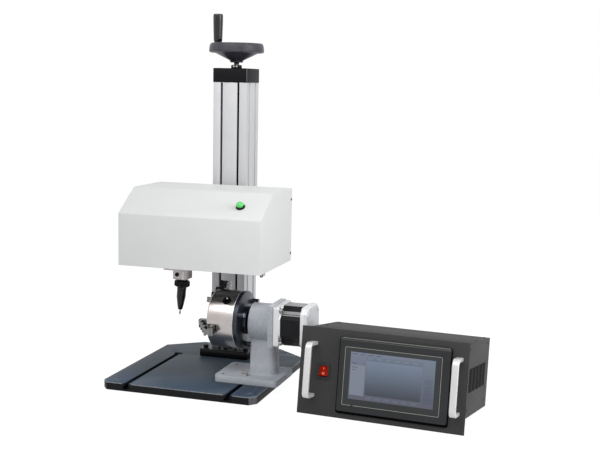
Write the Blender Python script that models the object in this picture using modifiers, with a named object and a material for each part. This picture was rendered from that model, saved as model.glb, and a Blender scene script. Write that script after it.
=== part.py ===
"""A nameplate marking machine: column stand, marking head, rotary chuck and control box.

Metres, +Z up. The origin is the middle of the column's axis on the underside of the base
plate, +Y points to the back and +X to the right, towards the rotary chuck's motor.
"""

import math

import bpy
import bmesh
from mathutils import Matrix, Vector

# Clearances and facets
FIT = 0.0003            # gap between two pieces that touch
RUN = 0.0004            # radial gap of a turning or sliding piece in its bore
OVERCUT = 0.004         # how far a cutter passes its wall
SINK = 0.001            # how far two joined shapes overlap
WELD = 0.00001          # merge distance of turned and converted meshes
WIDE_ROUND = 40         # sides of the large turned pieces
ROUND = 28              # sides of shafts and bores
SMALL_ROUND = 16        # sides of small pins and holes
SMOOTH_ANGLE = math.radians(35)

# Base plate
PLATE_WIDTH = 0.346
PLATE_FRONT = -0.333
PLATE_BACK = 0.063
PLATE_THICK = 0.017
FRONT_CORNER_X = 0.013
FRONT_CORNER_Y = 0.015
BACK_CORNER_X = 0.076
BACK_CORNER_Y = 0.060
SLOT_X = 0.114
SLOT_NECK = 0.010
SLOT_CAVITY = 0.018
SLOT_FLOOR = 0.0035
SLOT_CAVITY_HEIGHT = 0.0065
SLOT_END = -0.056
POCKET_WIDTH = 0.020
POCKET_LENGTH = 0.013
FIX_HOLE = 0.0033
FIX_HOLE_INSET_X = 0.021
FIX_HOLE_FRONT = -0.305
FIX_HOLE_BACK_X = 0.128
FIX_HOLE_BACK = 0.026

# Column, its foot, cover strip and cap
FOOT_WIDTH = 0.117
FOOT_FRONT = -0.0663
FOOT_BACK = 0.054
FOOT_THICK = 0.0177
COLUMN_SIDE = 0.080
COLUMN_TOP = 0.649
COLUMN_WALL = 0.006
GROOVE_WIDTH = 0.008
GROOVE_DEPTH = 0.003
GROOVE_PITCH = 0.040
SLIT_WIDTH = 0.005
STRIP_WIDTH = 0.035
STRIP_THICK = 0.0035
CAP_HEIGHT = 0.0320
CAP_OVERHANG = 0.001
EDGE_BREAK = 0.001
ROD_RADIUS = 0.005
ROD_X = 0.023
ROD_SOCKET = 0.008
BEARING_RADIUS = 0.014
BEARING_HEIGHT = 0.009
BEARING_POCKET = 0.0095

# Lifting screw and handwheel
SCREW_RADIUS = 0.008
SCREW_JOURNAL = 0.005
SHAFT_SETBACK = 0.0012   # its end below the hub's top
THREAD_GAP = 0.0009
SHAFT_RADIUS = 0.006
COLLAR_RADIUS = 0.0125
COLLAR_HEIGHT = 0.0075
COLLAR_BREAK = 0.0012
WHEEL_LIFT = 0.0135     # hub's underside above the cap
HUB_RADIUS = 0.0145
HUB_SKIRT = 0.003
WHEEL_RADIUS = 0.0628
RIM_RISE = 0.0222       # rim's underside above the hub's
RIM_HEIGHT = 0.0212
RIM_DRAFT = 0.003
RIM_WIDTH = 0.014
RIM_ROUND = 0.003
DISH_THICK = 0.006
HUB_FILLET = 0.0096
DISH_FILLET = 0.009
LIP_DROP = 0.001
HUB_HEIGHT = 0.034
HUB_TOP_RADIUS = 0.0125
GRIP_CIRCLE = 0.0427
GRIP_ANGLE = math.radians(200.7)
GRIP_BOSS = 0.0095
GRIP_LENGTH = 0.0623
GRIP_LOW_RADIUS = 0.0098
GRIP_HIGH_RADIUS = 0.0112
GRIP_ROUND = 0.002
GRIP_PIN = 0.004
GRIP_PIN_LENGTH = 0.054
GRIP_GAP = 0.0024

# Lift carriage
CARRIAGE_WIDTH = 0.062
CARRIAGE_FRONT = -0.030
CARRIAGE_BACK = 0.018
CARRIAGE_LOW = 0.304
CARRIAGE_HIGH = 0.374
ARM_THICK = 0.0036
PAD_WIDTH = 0.090
PAD_THICK = 0.018
NUT_RADIUS = 0.0135
NUT_FLANGE = 0.018
NUT_FLANGE_HEIGHT = 0.006
NUT_LENGTH = 0.040
SCREW_GAP = 0.0008

# Marking head
HEAD_WIDTH = 0.322
HEAD_FRONT = -0.276
HEAD_BACK = -0.069
HEAD_LOW = 0.258
HEAD_FRONT_TOP = 0.3706
HEAD_SLOPE_BACK = -0.2007
HEAD_HIGH = 0.420
SHEET = 0.002
FOLD_RADIUS = 0.0025
BACK_PLATE_THICK = 0.0085
SOCKET_INSET = 0.056
SOCKET_Z = 0.300
SOCKET_RADIUS = 0.011
SOCKET_LENGTH = 0.011
SOCKET_BORE = 0.0075
SOCKET_DEPTH = 0.008
STAGE_LOW = 0.259
STAGE_THICK = 0.006
WINDOW_INSET = 0.013    # from the Y rails
WINDOW_FRONT = -0.248
WINDOW_BACK = -0.118
WINDOW_ROUND = 0.009

# Cross slides inside the head
Y_RAIL_INSET = 0.0157
Y_RAIL_WIDTH = 0.009
Y_RAIL_HEIGHT = 0.008
Y_RAIL_FRONT = -0.268
Y_RAIL_BACK = -0.082
Y_DRIVE_INSET = 0.0587
Y_MOTOR_SIDE = 0.042
Y_MOTOR_LENGTH = 0.038
Y_MOTOR_FRONT = -0.272
MOTOR_CORNER = 0.004
MOTOR_BOSS = 0.011
MOTOR_BOSS_HEIGHT = 0.002
Y_SCREW_RADIUS = 0.004
COUPLER_RADIUS = 0.009
COUPLER_LENGTH = 0.020
SCREW_END_DEPTH = 0.004
BEAM_INSET = 0.0067
BEAM_FRONT = -0.158
BEAM_THICK = 0.016
BEAM_LOW = 0.276
BEAM_HIGH = 0.316
BLOCK_WIDTH = 0.020
BLOCK_FRONT = -0.180
BLOCK_BACK = -0.137
BLOCK_LOW = 0.2665
BLOCK_HIGH = 0.284
X_RAIL_INSET = 0.014
X_RAIL_TO_MOTOR = 0.070
X_RAIL_THICK = 0.005
X_RAIL_LOW = 0.290
X_RAIL_HEIGHT = 0.012
X_MOTOR_INSET = 0.052
X_MOTOR_SIDE = 0.035
X_MOTOR_LENGTH = 0.034
X_MOTOR_FRONT = -0.175
X_SCREW_RADIUS = 0.003
X_COUPLER_RADIUS = 0.007
X_END_BLOCK = 0.010
X_END_HIGH = 0.346
SLIDE_LEFT = -0.078
SLIDE_RIGHT = -0.022
SLIDE_FRONT = -0.1754
SLIDE_LOW = 0.268
SLIDE_HIGH = 0.346
SLIDE_TOP_LOW = 0.319
SLIDE_TOP_BACK = -0.146
SLIDE_GAP = 0.002

# Stylus, standing a few degrees off plumb
STYLUS_TIP = Vector((-0.0538, -0.193, 0.1417))
STYLUS_LEAN = math.radians(4.5)
NEEDLE_TIP_RADIUS = 0.0021
NEEDLE_TIP_LENGTH = 0.0065
NEEDLE_POINT = 0.003
NEEDLE_RADIUS = 0.0015
NEEDLE_HEAD = 0.0035
NEEDLE_HEAD_LOW = 0.030
NEEDLE_HEAD_HIGH = 0.036
BODY_LOW = 0.0123
BODY_HIGH = 0.064
BODY_LOW_RADIUS = 0.0053
BODY_MIDDLE = 0.0245
BODY_MIDDLE_RADIUS = 0.0073
BODY_SHOULDER = 0.041
BODY_HIGH_RADIUS = 0.0099
BODY_NOSE = 0.002
CHAMBER_LOW = 0.022
CHAMBER_HIGH = 0.050
CHAMBER_RADIUS = 0.0041
SHANK_RADIUS = 0.008
SHANK_HIGH = 0.112
KNURL_RADIUS = 0.0172
KNURL_HIGH = 0.0775
KNURL_BREAK = 0.003
NECK_RADIUS = 0.012
NECK_HIGH = 0.0802
HOLDER_LEFT = -0.0663
HOLDER_RIGHT = -0.0321
HOLDER_FRONT = -0.210
HOLDER_LOW = 0.2230
HOLDER_HIGH = 0.297
HOLDER_ROUND = 0.010
HOLDER_FLANGE_LEFT = -0.0835
HOLDER_FLANGE_RIGHT = -0.030
HOLDER_FLANGE_FRONT = -0.2125
HOLDER_FLANGE_LOW = 0.2425
HOLDER_FLANGE_THICK = 0.005
ROUND_STEPS = 4

# Start button and air fitting
BUTTON_INSET = 0.057
BUTTON_UP_SLOPE = 0.040
BEZEL_RADIUS = 0.010
BEZEL_HEIGHT = 0.0027
BEZEL_BARREL = 0.0079
BEZEL_DEPTH = 0.016
BEZEL_BORE = 0.0066
DOME_RADIUS = 0.0083
DOME_LIFT = 0.0062
DOME_HEIGHT = 0.0068
STEM_RADIUS = 0.0062
STEM_DEPTH = 0.010
FITTING_INSET = 0.011
FITTING_Y = -0.229
FITTING_STEM = 0.0030
FITTING_BARREL = 0.0040
FITTING_HALF = 0.0075
FITTING_DROP = 0.0085

# Rotary axis, chuck and its drive
AXIS_Y = -0.193
AXIS_Z = 0.143
CHUCK_FACE = 0.0345
CHUCK_RADIUS = 0.0625
CHUCK_LENGTH = 0.058
CHUCK_BREAK = 0.002
CHUCK_BORE = 0.015
CHUCK_HUB = 0.019
CHUCK_CAVITY = 0.054
FRONT_WALL = 0.0212
SCROLL_THICK = 0.0072
JAW_ANGLE = math.radians(70)
PINION_ANGLE = math.radians(130)
JAW_WIDTH = 0.018
JAW_RIB = 0.0027
JAW_RIB_FRONT = 0.0058
JAW_RIB_WIDTH = 0.0044
JAW_INNER = 0.031
JAW_OUTER = 0.081
JAW_BACK = 0.0155
JAW_STEPS = ((0.042, 0.026), (0.054, 0.0175), (0.066, 0.009))
JAW_TOOTH_PITCH = 0.0065
JAW_TOOTH_WIDTH = 0.0033
JAW_TOOTH_HEIGHT = 0.0054
PINION_RADIUS = 0.0082
PINION_X = 0.0375       # its axis behind the chuck's face
PINION_INNER = 0.037
PINION_OUTER = 0.0618
KEY_SQUARE = 0.0085
KEY_DEPTH = 0.010
ADAPTER_THICK = 0.0092
PILOT_LENGTH = 0.0065
ADAPTER_BOLT_CIRCLE = 0.055
ADAPTER_BOLT_RADIUS = 0.0055
ADAPTER_BOLT_LENGTH = 0.013
ADAPTER_BOLT_ANGLE = math.radians(37)
SPINDLE_FLANGE = 0.030
SPINDLE_FLANGE_THICK = 0.008
SPINDLE_RADIUS = 0.015
SPINDLE_END = 0.150
DRIVE_SHAFT_RADIUS = 0.007
DRIVE_SHAFT_END = 0.188

# Rotary bracket and motor
BRACKET_LEFT = 0.051
BRACKET_RIGHT = 0.192
BRACKET_FRONT = -0.251
BRACKET_BACK = -0.136
BRACKET_BASE_THICK = 0.014
BRACKET_CORNER = 0.009
BRACKET_BOLT_HOLE = 0.0045
BRACKET_BOLT_FRONT = -0.229
BRACKET_BOLT_BACK = -0.153
DOWEL_HOLE = 0.003
DOWEL_X = 0.066
DOWEL_INSET = 0.017
HOUSING_LEFT = 0.1195
HOUSING_RADIUS = 0.040
HOUSING_BORE = 0.022
PEDESTAL_RIGHT = 0.173
PEDESTAL_THICK = 0.037
PEDESTAL_ROUND = 0.013
PEDESTAL_LEFT_ROUND = 0.004
FLARES = ((0.0, 0.007), (0.0035, 0.0035), (0.010, 0.0022), (1.0, 0.0))
MOTOR_PAD_LEFT = 0.165
MOTOR_PAD_RIGHT = 0.1765
MOTOR_PAD_SIDE = 0.088
MOTOR_SIDE = 0.086
FRONT_BELL = 0.0157
STATOR_LENGTH = 0.043
REAR_BELL = 0.009
BELL_CORNER = 0.010
FLANGE_THICK = 0.012
FLANGE_CORNER = 0.003
STATOR_CORNER = 0.025
STATOR_STEP = 0.005
REAR_COVER_SIDE = 0.062
REAR_COVER_CORNER = 0.014
REAR_COVER_DEPTH = 0.0078
BEARING_LEFT = 0.121
BEARING_WIDTH = 0.014

# Control box, in its own frame: X along the panel, Y into the box, Z up the panel
BOX_X = 0.2647
BOX_Y = -0.3412
BOX_YAW = math.radians(-4.35)
PANEL_WIDTH = 0.338
PANEL_HEIGHT = 0.174
PANEL_THICK = 0.003
CASE_DEPTH = 0.203
CASE_INSET = 0.002
CASE_LIP = 0.0297
CASE_DROP = 0.004       # lid's top below the panel's top edge
CASE_SHEET = 0.0015
VENT_COUNT = 5
VENT_FIRST = 0.015
VENT_LAST = 0.0322      # the last slot's end before the rear edge
VENT_BAR = 0.0075
VENT_LOW = 0.077
VENT_HIGH = 0.123
HMI_LEFT = 0.084
HMI_RIGHT_INSET = 0.034
HMI_LOW = 0.0158
HMI_HIGH = 0.1602
HMI_HEIGHT = 0.0065
HMI_CORNER = 0.004
HMI_BODY_INSET = 0.007
HMI_BODY_DEPTH = 0.028
HMI_BODY_LOW = 0.0350   # clear of the tray's floor behind the panel
GLASS_INSET = 0.012
GLASS_RIGHT_INSET = 0.016
GLASS_LOW = 0.030
GLASS_HIGH = 0.1415
GLASS_THICK = 0.0025
SWITCH_X = 0.0510
SWITCH_Z = 0.0880
SWITCH_WIDTH = 0.027
SWITCH_HEIGHT = 0.030
SWITCH_FLANGE = 0.002
SWITCH_BODY_WIDTH = 0.0225
SWITCH_BODY_HEIGHT = 0.0262
SWITCH_BODY_DEPTH = 0.018
ROCKER_WIDTH = 0.0185
ROCKER_HALF = 0.0098
ROCKER_GAP = 0.0012
ROCKER_FRONT = 0.0042
ROCKER_PIVOT = 0.0035   # its axis behind the panel's front face
ROCKER_ANGLE = math.radians(9)
SWITCH_WELL_DEPTH = 0.012
HANDLE_X = 0.029
HANDLE_RIGHT_INSET = 0.017
HANDLE_LOW = 0.0355
HANDLE_HIGH = 0.1455
HANDLE_REACH = 0.040
HANDLE_WIDTH = 0.0125
HANDLE_THICK = 0.007
HANDLE_ROUND = 0.0015
HANDLE_BEND = 0.0125
HANDLE_BEND_STEPS = 4
INLET_X = 0.045
INLET_Z = 0.062
INLET_WIDTH = 0.048
INLET_HEIGHT = 0.027
INLET_FLANGE = 0.0025
INLET_POCKET_WIDTH = 0.024
INLET_POCKET_HEIGHT = 0.016
INLET_POCKET_DEPTH = 0.014
INLET_DEPTH = 0.020
PORT_PLATE_INSET = 0.123
PORT_PLATE_WIDTH = 0.110
PORT_PLATE_HEIGHT = 0.034
PORT_PLATE_THICK = 0.002
PORT_Z = 0.062
PORT_RADIUS = 0.0095
PORT_BORE = 0.0068
PORT_LENGTH = 0.012
PORT_PITCH = 0.050
SUPPLY_LEFT = 0.022
SUPPLY_WIDTH = 0.098
SUPPLY_HEIGHT = 0.038
SUPPLY_FRONT = 0.055
SUPPLY_REAR_GAP = 0.028

# Places worked out from the sizes above
FOOT_LOW = PLATE_THICK + FIT
FOOT_HIGH = FOOT_LOW + FOOT_THICK
COLUMN_LOW = FOOT_HIGH + FIT
CAP_LOW = COLUMN_TOP + FIT
CAP_HIGH = CAP_LOW + CAP_HEIGHT
WHEEL_LOW = CAP_HIGH + WHEEL_LIFT
RIM_LOW = WHEEL_LOW + RIM_RISE
RIM_HIGH = RIM_LOW + RIM_HEIGHT
GRIP_LOW = RIM_HIGH + GRIP_GAP
GRIP_PLACE = Vector((math.cos(GRIP_ANGLE) * GRIP_CIRCLE, math.sin(GRIP_ANGLE) * GRIP_CIRCLE, GRIP_LOW))
STAGE_HIGH = STAGE_LOW + STAGE_THICK
STAGE_HALF = HEAD_WIDTH / 2 - SHEET - FIT
SOCKET_X = HEAD_WIDTH / 2 - SOCKET_INSET
BUTTON_X = HEAD_WIDTH / 2 - BUTTON_INSET
FITTING_X = HEAD_WIDTH / 2 - FITTING_INSET
Y_RAIL_X = STAGE_HALF - Y_RAIL_INSET
Y_DRIVE_X = STAGE_HALF - Y_DRIVE_INSET
WINDOW_HALF = Y_RAIL_X - WINDOW_INSET
BEAM_HALF = STAGE_HALF - BEAM_INSET
X_MOTOR_LEFT = BEAM_HALF - X_MOTOR_INSET
X_RAIL_LEFT = X_RAIL_INSET - BEAM_HALF
X_RAIL_RIGHT = X_MOTOR_LEFT - X_RAIL_TO_MOTOR
BACK_PLATE_FRONT = HEAD_BACK - BACK_PLATE_THICK
Y_DRIVE_Z = STAGE_HIGH + FIT + Y_MOTOR_SIDE / 2
Y_SCREW_START = Y_MOTOR_FRONT + Y_MOTOR_LENGTH + MOTOR_BOSS_HEIGHT + FIT
BEAM_BACK = BEAM_FRONT + BEAM_THICK
X_DRIVE_Y = X_MOTOR_FRONT + X_MOTOR_SIDE / 2
X_DRIVE_Z = BEAM_HIGH + FIT + X_MOTOR_SIDE / 2
SLOPE_ANGLE = math.atan2(HEAD_HIGH - HEAD_FRONT_TOP, HEAD_SLOPE_BACK - HEAD_FRONT)
CHUCK_BACK = CHUCK_FACE + CHUCK_LENGTH
ADAPTER_FRONT = CHUCK_BACK + FIT
ADAPTER_BACK = ADAPTER_FRONT + ADAPTER_THICK
SPINDLE_FRONT = ADAPTER_BACK + FIT
BRACKET_LOW = PLATE_THICK + FIT
BRACKET_TOP = BRACKET_LOW + BRACKET_BASE_THICK
MOTOR_FRONT = MOTOR_PAD_RIGHT + FIT
STATOR_FRONT = MOTOR_FRONT + FRONT_BELL + FIT
REAR_FRONT = STATOR_FRONT + STATOR_LENGTH + FIT
CASE_LEFT = CASE_INSET
CASE_RIGHT = PANEL_WIDTH - CASE_INSET
CASE_FRONT = PANEL_THICK + FIT
CASE_BACK = CASE_DEPTH
CASE_HIGH = PANEL_HEIGHT - CASE_DROP
VENT_SPAN = CASE_BACK - CASE_FRONT - VENT_FIRST - VENT_LAST
VENT_WIDTH = (VENT_SPAN - VENT_BAR * (VENT_COUNT - 1)) / VENT_COUNT
HMI_RIGHT = PANEL_WIDTH - HMI_RIGHT_INSET
GLASS_LEFT = HMI_LEFT + GLASS_INSET
GLASS_RIGHT = HMI_RIGHT - GLASS_RIGHT_INSET
HANDLE_RIGHT_X = PANEL_WIDTH - HANDLE_RIGHT_INSET
PORT_PLATE_X = PANEL_WIDTH - PORT_PLATE_INSET
BOX_TILT = math.atan2(CASE_LIP, CASE_BACK - PANEL_THICK)
BOX_RAISE = PANEL_THICK * math.sin(BOX_TILT)

SIDE_ON = Matrix(((0, 0, 1, 0), (1, 0, 0, 0), (0, 1, 0, 0), (0, 0, 0, 1)))
ALONG_X = Matrix.Rotation(math.radians(90), 4, "Y")
ALONG_Y = Matrix.Rotation(math.radians(-90), 4, "X")
BOX_SPACE = (
    Matrix.Translation((BOX_X, BOX_Y, BOX_RAISE))
    @ Matrix.Rotation(BOX_YAW, 4, "Z")
    @ Matrix.Rotation(-BOX_TILT, 4, "X")
)
STYLUS_SPACE = Matrix.Translation(STYLUS_TIP) @ Matrix.Rotation(STYLUS_LEAN, 4, "Y")
CHUCK_SPACE = Matrix.Translation((CHUCK_FACE, AXIS_Y, AXIS_Z))
BUTTON_PLACE = Vector(
    (
        BUTTON_X,
        HEAD_FRONT + BUTTON_UP_SLOPE * math.cos(SLOPE_ANGLE),
        HEAD_FRONT_TOP + BUTTON_UP_SLOPE * math.sin(SLOPE_ANGLE),
    )
)
BUTTON_SPACE = Matrix.Translation(BUTTON_PLACE) @ Matrix.Rotation(SLOPE_ANGLE, 4, "X")

# Finishes: colour, roughness, metallic
FINISHES = {
    "plate_paint": ((0.085, 0.110, 0.130), 0.55, 0.2),
    "black_oxide": ((0.020, 0.021, 0.023), 0.45, 0.5),
    "anodised": ((0.62, 0.63, 0.65), 0.38, 0.9),
    "ground_steel": ((0.55, 0.54, 0.52), 0.25, 1.0),
    "bright_steel": ((0.70, 0.69, 0.67), 0.22, 1.0),
    "bronze": ((0.55, 0.38, 0.17), 0.4, 1.0),
    "wheel_plastic": ((0.055, 0.055, 0.062), 0.55, 0.0),
    "gloss_black": ((0.018, 0.018, 0.020), 0.15, 0.0),
    "head_paint": ((0.72, 0.73, 0.73), 0.5, 0.0),
    "casting_paint": ((0.30, 0.33, 0.36), 0.42, 0.1),
    "blued_steel": ((0.035, 0.040, 0.050), 0.4, 0.8),
    "cast_aluminium": ((0.66, 0.67, 0.68), 0.45, 0.8),
    "lamination": ((0.022, 0.022, 0.024), 0.5, 0.4),
    "box_paint": ((0.050, 0.051, 0.053), 0.6, 0.1),
    "bezel_plastic": ((0.036, 0.037, 0.038), 0.5, 0.0),
    "screen_glass": ((0.23, 0.27, 0.33), 0.12, 0.0),
    "handle_silver": ((0.72, 0.72, 0.71), 0.35, 0.85),
    "rocker_red": ((0.70, 0.045, 0.010), 0.3, 0.0),
    "button_green": ((0.20, 0.72, 0.24), 0.2, 0.0),
}


def clear_scene():
    """Removes the scene's objects and the collections that a first run left."""
    for thing in list(bpy.data.objects):
        bpy.data.objects.remove(thing, do_unlink=True)
    for shelf in list(bpy.data.collections):
        bpy.data.collections.remove(shelf)


def new_collection(name):
    shelf = bpy.data.collections.new(name)
    bpy.context.scene.collection.children.link(shelf)
    return shelf


clear_scene()
PARTS = new_collection("marking_machine")
HELPERS = new_collection("cutters")


def finish_material(finish):
    """The Principled material of a finish, made at its first use."""
    found = bpy.data.materials.get(finish)
    if found:
        return found
    colour, roughness, metallic = FINISHES[finish]
    made = bpy.data.materials.new(finish)
    made.use_nodes = True
    shader = made.node_tree.nodes["Principled BSDF"]
    shader.inputs["Base Color"].default_value = (*colour, 1.0)
    shader.inputs["Roughness"].default_value = roughness
    shader.inputs["Metallic"].default_value = metallic
    made.diffuse_color = (*colour, 1.0)
    return made


class Group:
    """An empty on a joint's axis. Pieces of its body hang on it, in the given space."""

    def __init__(self, name, pivot, parent=None, space=None):
        self.space = space or Matrix.Identity(4)
        self.world = self.space @ Matrix.Translation(pivot)
        self.empty = bpy.data.objects.new(name + "_axis", None)
        PARTS.objects.link(self.empty)
        if parent:
            self.empty.parent = parent.empty
            self.empty.matrix_parent_inverse = parent.world.inverted()
        self.empty.matrix_basis = self.world


def add_object(name, mesh, finish, group, place=None):
    """A named piece in its group, at its place in the group's space."""
    thing = bpy.data.objects.new(name, mesh)
    PARTS.objects.link(thing)
    thing.parent = group.empty
    thing.matrix_parent_inverse = group.world.inverted()
    thing.matrix_basis = group.space @ (place or Matrix.Identity(4))
    mesh.materials.append(finish_material(finish))
    for face in mesh.polygons:
        face.use_smooth = True
    mesh.set_sharp_from_angle(angle=SMOOTH_ANGLE)
    return thing


def helper(name, mesh, owner, place=None):
    """A cutter or a shape to join, in the owner's space, left out of the build."""
    thing = bpy.data.objects.new(owner.name + "_" + name, mesh)
    HELPERS.objects.link(thing)
    thing.parent = owner
    thing.matrix_basis = place or Matrix.Identity(4)
    thing.hide_render = True
    thing.display_type = "WIRE"
    return thing


def combine(owner, name, mesh, operation, place=None):
    """One Boolean between a piece and a helper shape."""
    modifier = owner.modifiers.new(name, "BOOLEAN")
    modifier.operation = operation
    modifier.object = helper(name, mesh, owner, place)
    return modifier


def cut(owner, name, mesh, place=None):
    return combine(owner, name, mesh, "DIFFERENCE", place)


def join(owner, name, mesh, place=None):
    return combine(owner, name, mesh, "UNION", place)


def mesh_from(maker, name):
    """The mesh that maker fills in a new bmesh."""
    work = bmesh.new()
    maker(work)
    bmesh.ops.recalc_face_normals(work, faces=work.faces)
    mesh = bpy.data.meshes.new(name)
    work.to_mesh(mesh)
    work.free()
    return mesh


def block_mesh(name, low, high):
    """A box between two corners."""
    low, high = Vector(low), Vector(high)

    def fill(work):
        bmesh.ops.create_cube(work, size=1)
        size = high - low
        middle = Matrix.Translation((low + high) / 2)
        bmesh.ops.transform(work, matrix=middle @ Matrix.Diagonal((*size, 1)), verts=work.verts)

    return mesh_from(fill, name)


def rod_mesh(name, radius, start, end, sides=ROUND, end_radius=None):
    """A round bar, or a cone, from one point to another."""
    start, end = Vector(start), Vector(end)

    def fill(work):
        along = end - start
        turn = along.to_track_quat("Z", "Y").to_matrix().to_4x4()
        bmesh.ops.create_cone(
            work,
            cap_ends=True,
            segments=sides,
            radius1=radius,
            radius2=radius if end_radius is None else end_radius,
            depth=along.length,
            matrix=Matrix.Translation((start + end) / 2) @ turn,
        )

    return mesh_from(fill, name)


def profile_mesh(name, profile, ring):
    """Points (radius, height) joined in a line, or in a ring, in the XZ plane."""
    mesh = bpy.data.meshes.new(name)
    points = [(radius, 0, height) for radius, height in profile]
    edges = [(i, i + 1) for i in range(len(points) - 1)]
    if ring:
        edges.append((len(points) - 1, 0))
    mesh.from_pydata(points, edges, [])
    return mesh


def spin(thing, sides):
    """The Screw modifier that turns a profile about Z."""
    modifier = thing.modifiers.new("turn", "SCREW")
    modifier.axis = "Z"
    modifier.steps = sides
    modifier.render_steps = sides
    modifier.use_merge_vertices = True
    modifier.merge_threshold = WELD
    modifier.use_smooth_shade = True
    return modifier


def turned(name, profile, finish, group, place=None, sides=ROUND, ring=False):
    """A turned piece. The profile runs down its outer side, top to bottom."""
    thing = add_object(name, profile_mesh(name, profile, ring), finish, group, place)
    spin(thing, sides)
    return thing


def outline_mesh(name, loops, thickness):
    """A flat outline with holes, thickness centred on z = 0."""
    curve = bpy.data.curves.new(name, "CURVE")
    curve.dimensions = "2D"
    curve.fill_mode = "BOTH"
    curve.extrude = thickness / 2
    for loop in loops:
        spline = curve.splines.new("POLY")
        spline.points.add(len(loop) - 1)
        for point, (x, y) in zip(spline.points, loop):
            point.co = (x, y, 0, 1)
        spline.use_cyclic_u = True
    drawn = bpy.data.objects.new(name, curve)
    HELPERS.objects.link(drawn)
    graph = bpy.context.evaluated_depsgraph_get()
    mesh = bpy.data.meshes.new_from_object(drawn.evaluated_get(graph))
    work = bmesh.new()
    work.from_mesh(mesh)
    bmesh.ops.remove_doubles(work, verts=work.verts, dist=WELD)
    bmesh.ops.recalc_face_normals(work, faces=work.faces)
    work.to_mesh(mesh)
    work.free()
    bpy.data.objects.remove(drawn, do_unlink=True)
    return mesh


def rounded_outline(left, low, right, high, radii, steps=ROUND_STEPS):
    """A rectangle's outline, its corner radii from the lower left one round to the upper left."""
    corners = ((left, low, 180), (right, low, 270), (right, high, 0), (left, high, 90))
    inward = ((1, 1), (-1, 1), (-1, -1), (1, -1))
    points = []
    for (x, y, start), (toward_x, toward_y), radius in zip(corners, inward, radii):
        if not radius:
            points.append((x, y))
            continue
        middle_x = x + toward_x * radius
        middle_y = y + toward_y * radius
        for step in range(steps + 1):
            angle = math.radians(start + step * 90 / steps)
            points.append((middle_x + radius * math.cos(angle), middle_y + radius * math.sin(angle)))
    return points


def cut_corner_outline(left, low, right, high, corner):
    """A rectangle's outline with its corners cut off at 45 degrees."""
    return rounded_outline(left, low, right, high, (corner,) * 4, steps=1)


def break_edges(thing, width, segments=1):
    modifier = thing.modifiers.new("edge_break", "BEVEL")
    modifier.width = width
    modifier.segments = segments
    modifier.limit_method = "ANGLE"
    modifier.angle_limit = math.radians(60)
    return modifier


def base_plate(group):
    """The slotted table: T-slots open at the front edge, each with an entry pocket at its end."""
    half = PLATE_WIDTH / 2
    front_x = half - FRONT_CORNER_X
    back_x = half - BACK_CORNER_X
    right_side = [
        (front_x, PLATE_FRONT),
        (half, PLATE_FRONT + FRONT_CORNER_Y),
        (half, PLATE_BACK - BACK_CORNER_Y),
        (back_x, PLATE_BACK),
    ]
    left_side = [(-x, y) for x, y in reversed(right_side)]
    mesh = outline_mesh("base_plate", [right_side + left_side], PLATE_THICK)
    raise_half = Matrix.Translation((0, 0, PLATE_THICK / 2))
    plate = add_object("base_plate", mesh, "plate_paint", group, raise_half)
    sink = raise_half.inverted()
    for side in (-1, 1):
        middle = side * SLOT_X
        neck = block_mesh(
            "neck",
            (middle - SLOT_NECK / 2, PLATE_FRONT - OVERCUT, SLOT_FLOOR + SINK),
            (middle + SLOT_NECK / 2, SLOT_END, PLATE_THICK + OVERCUT),
        )
        cavity = block_mesh(
            "cavity",
            (middle - SLOT_CAVITY / 2, PLATE_FRONT - OVERCUT, SLOT_FLOOR),
            (middle + SLOT_CAVITY / 2, SLOT_END, SLOT_FLOOR + SLOT_CAVITY_HEIGHT),
        )
        pocket = block_mesh(
            "pocket",
            (middle - POCKET_WIDTH / 2, SLOT_END - POCKET_LENGTH, SLOT_FLOOR),
            (middle + POCKET_WIDTH / 2, SLOT_END, PLATE_THICK + OVERCUT),
        )
        cut(plate, "slot_neck", neck, sink)
        cut(plate, "slot_cavity", cavity, sink)
        cut(plate, "slot_pocket", pocket, sink)
        front = (side * (half - FIX_HOLE_INSET_X), FIX_HOLE_FRONT)
        back = (side * FIX_HOLE_BACK_X, FIX_HOLE_BACK)
        for x, y in (front, back):
            hole = rod_mesh("hole", FIX_HOLE, (x, y, -OVERCUT), (x, y, PLATE_THICK + OVERCUT), SMALL_ROUND)
            cut(plate, "fixing_hole", hole, sink)


def column_section():
    """The extrusion's section: open at the front, two shallow grooves on each other side."""
    half = COLUMN_SIDE / 2
    inner = half - COLUMN_WALL
    mouth = STRIP_WIDTH / 2 + SLIT_WIDTH
    groove_low = GROOVE_PITCH / 2 - GROOVE_WIDTH / 2
    groove_high = GROOVE_PITCH / 2 + GROOVE_WIDTH / 2
    floor = half - GROOVE_DEPTH
    right = [(mouth, -half), (half, -half)]
    for edges in ((-groove_high, -groove_low), (groove_low, groove_high)):
        right += [(half, edges[0]), (floor, edges[0]), (floor, edges[1]), (half, edges[1])]
    right.append((half, half))
    right += [(groove_high, half), (groove_high, floor), (groove_low, floor), (groove_low, half)]
    left = [(-x, y) for x, y in reversed(right)]
    inside_left = [(-mouth, -inner), (-inner, -inner), (-inner, inner)]
    inside_right = [(-x, y) for x, y in reversed(inside_left)]
    return right + left + inside_left + inside_right


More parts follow.
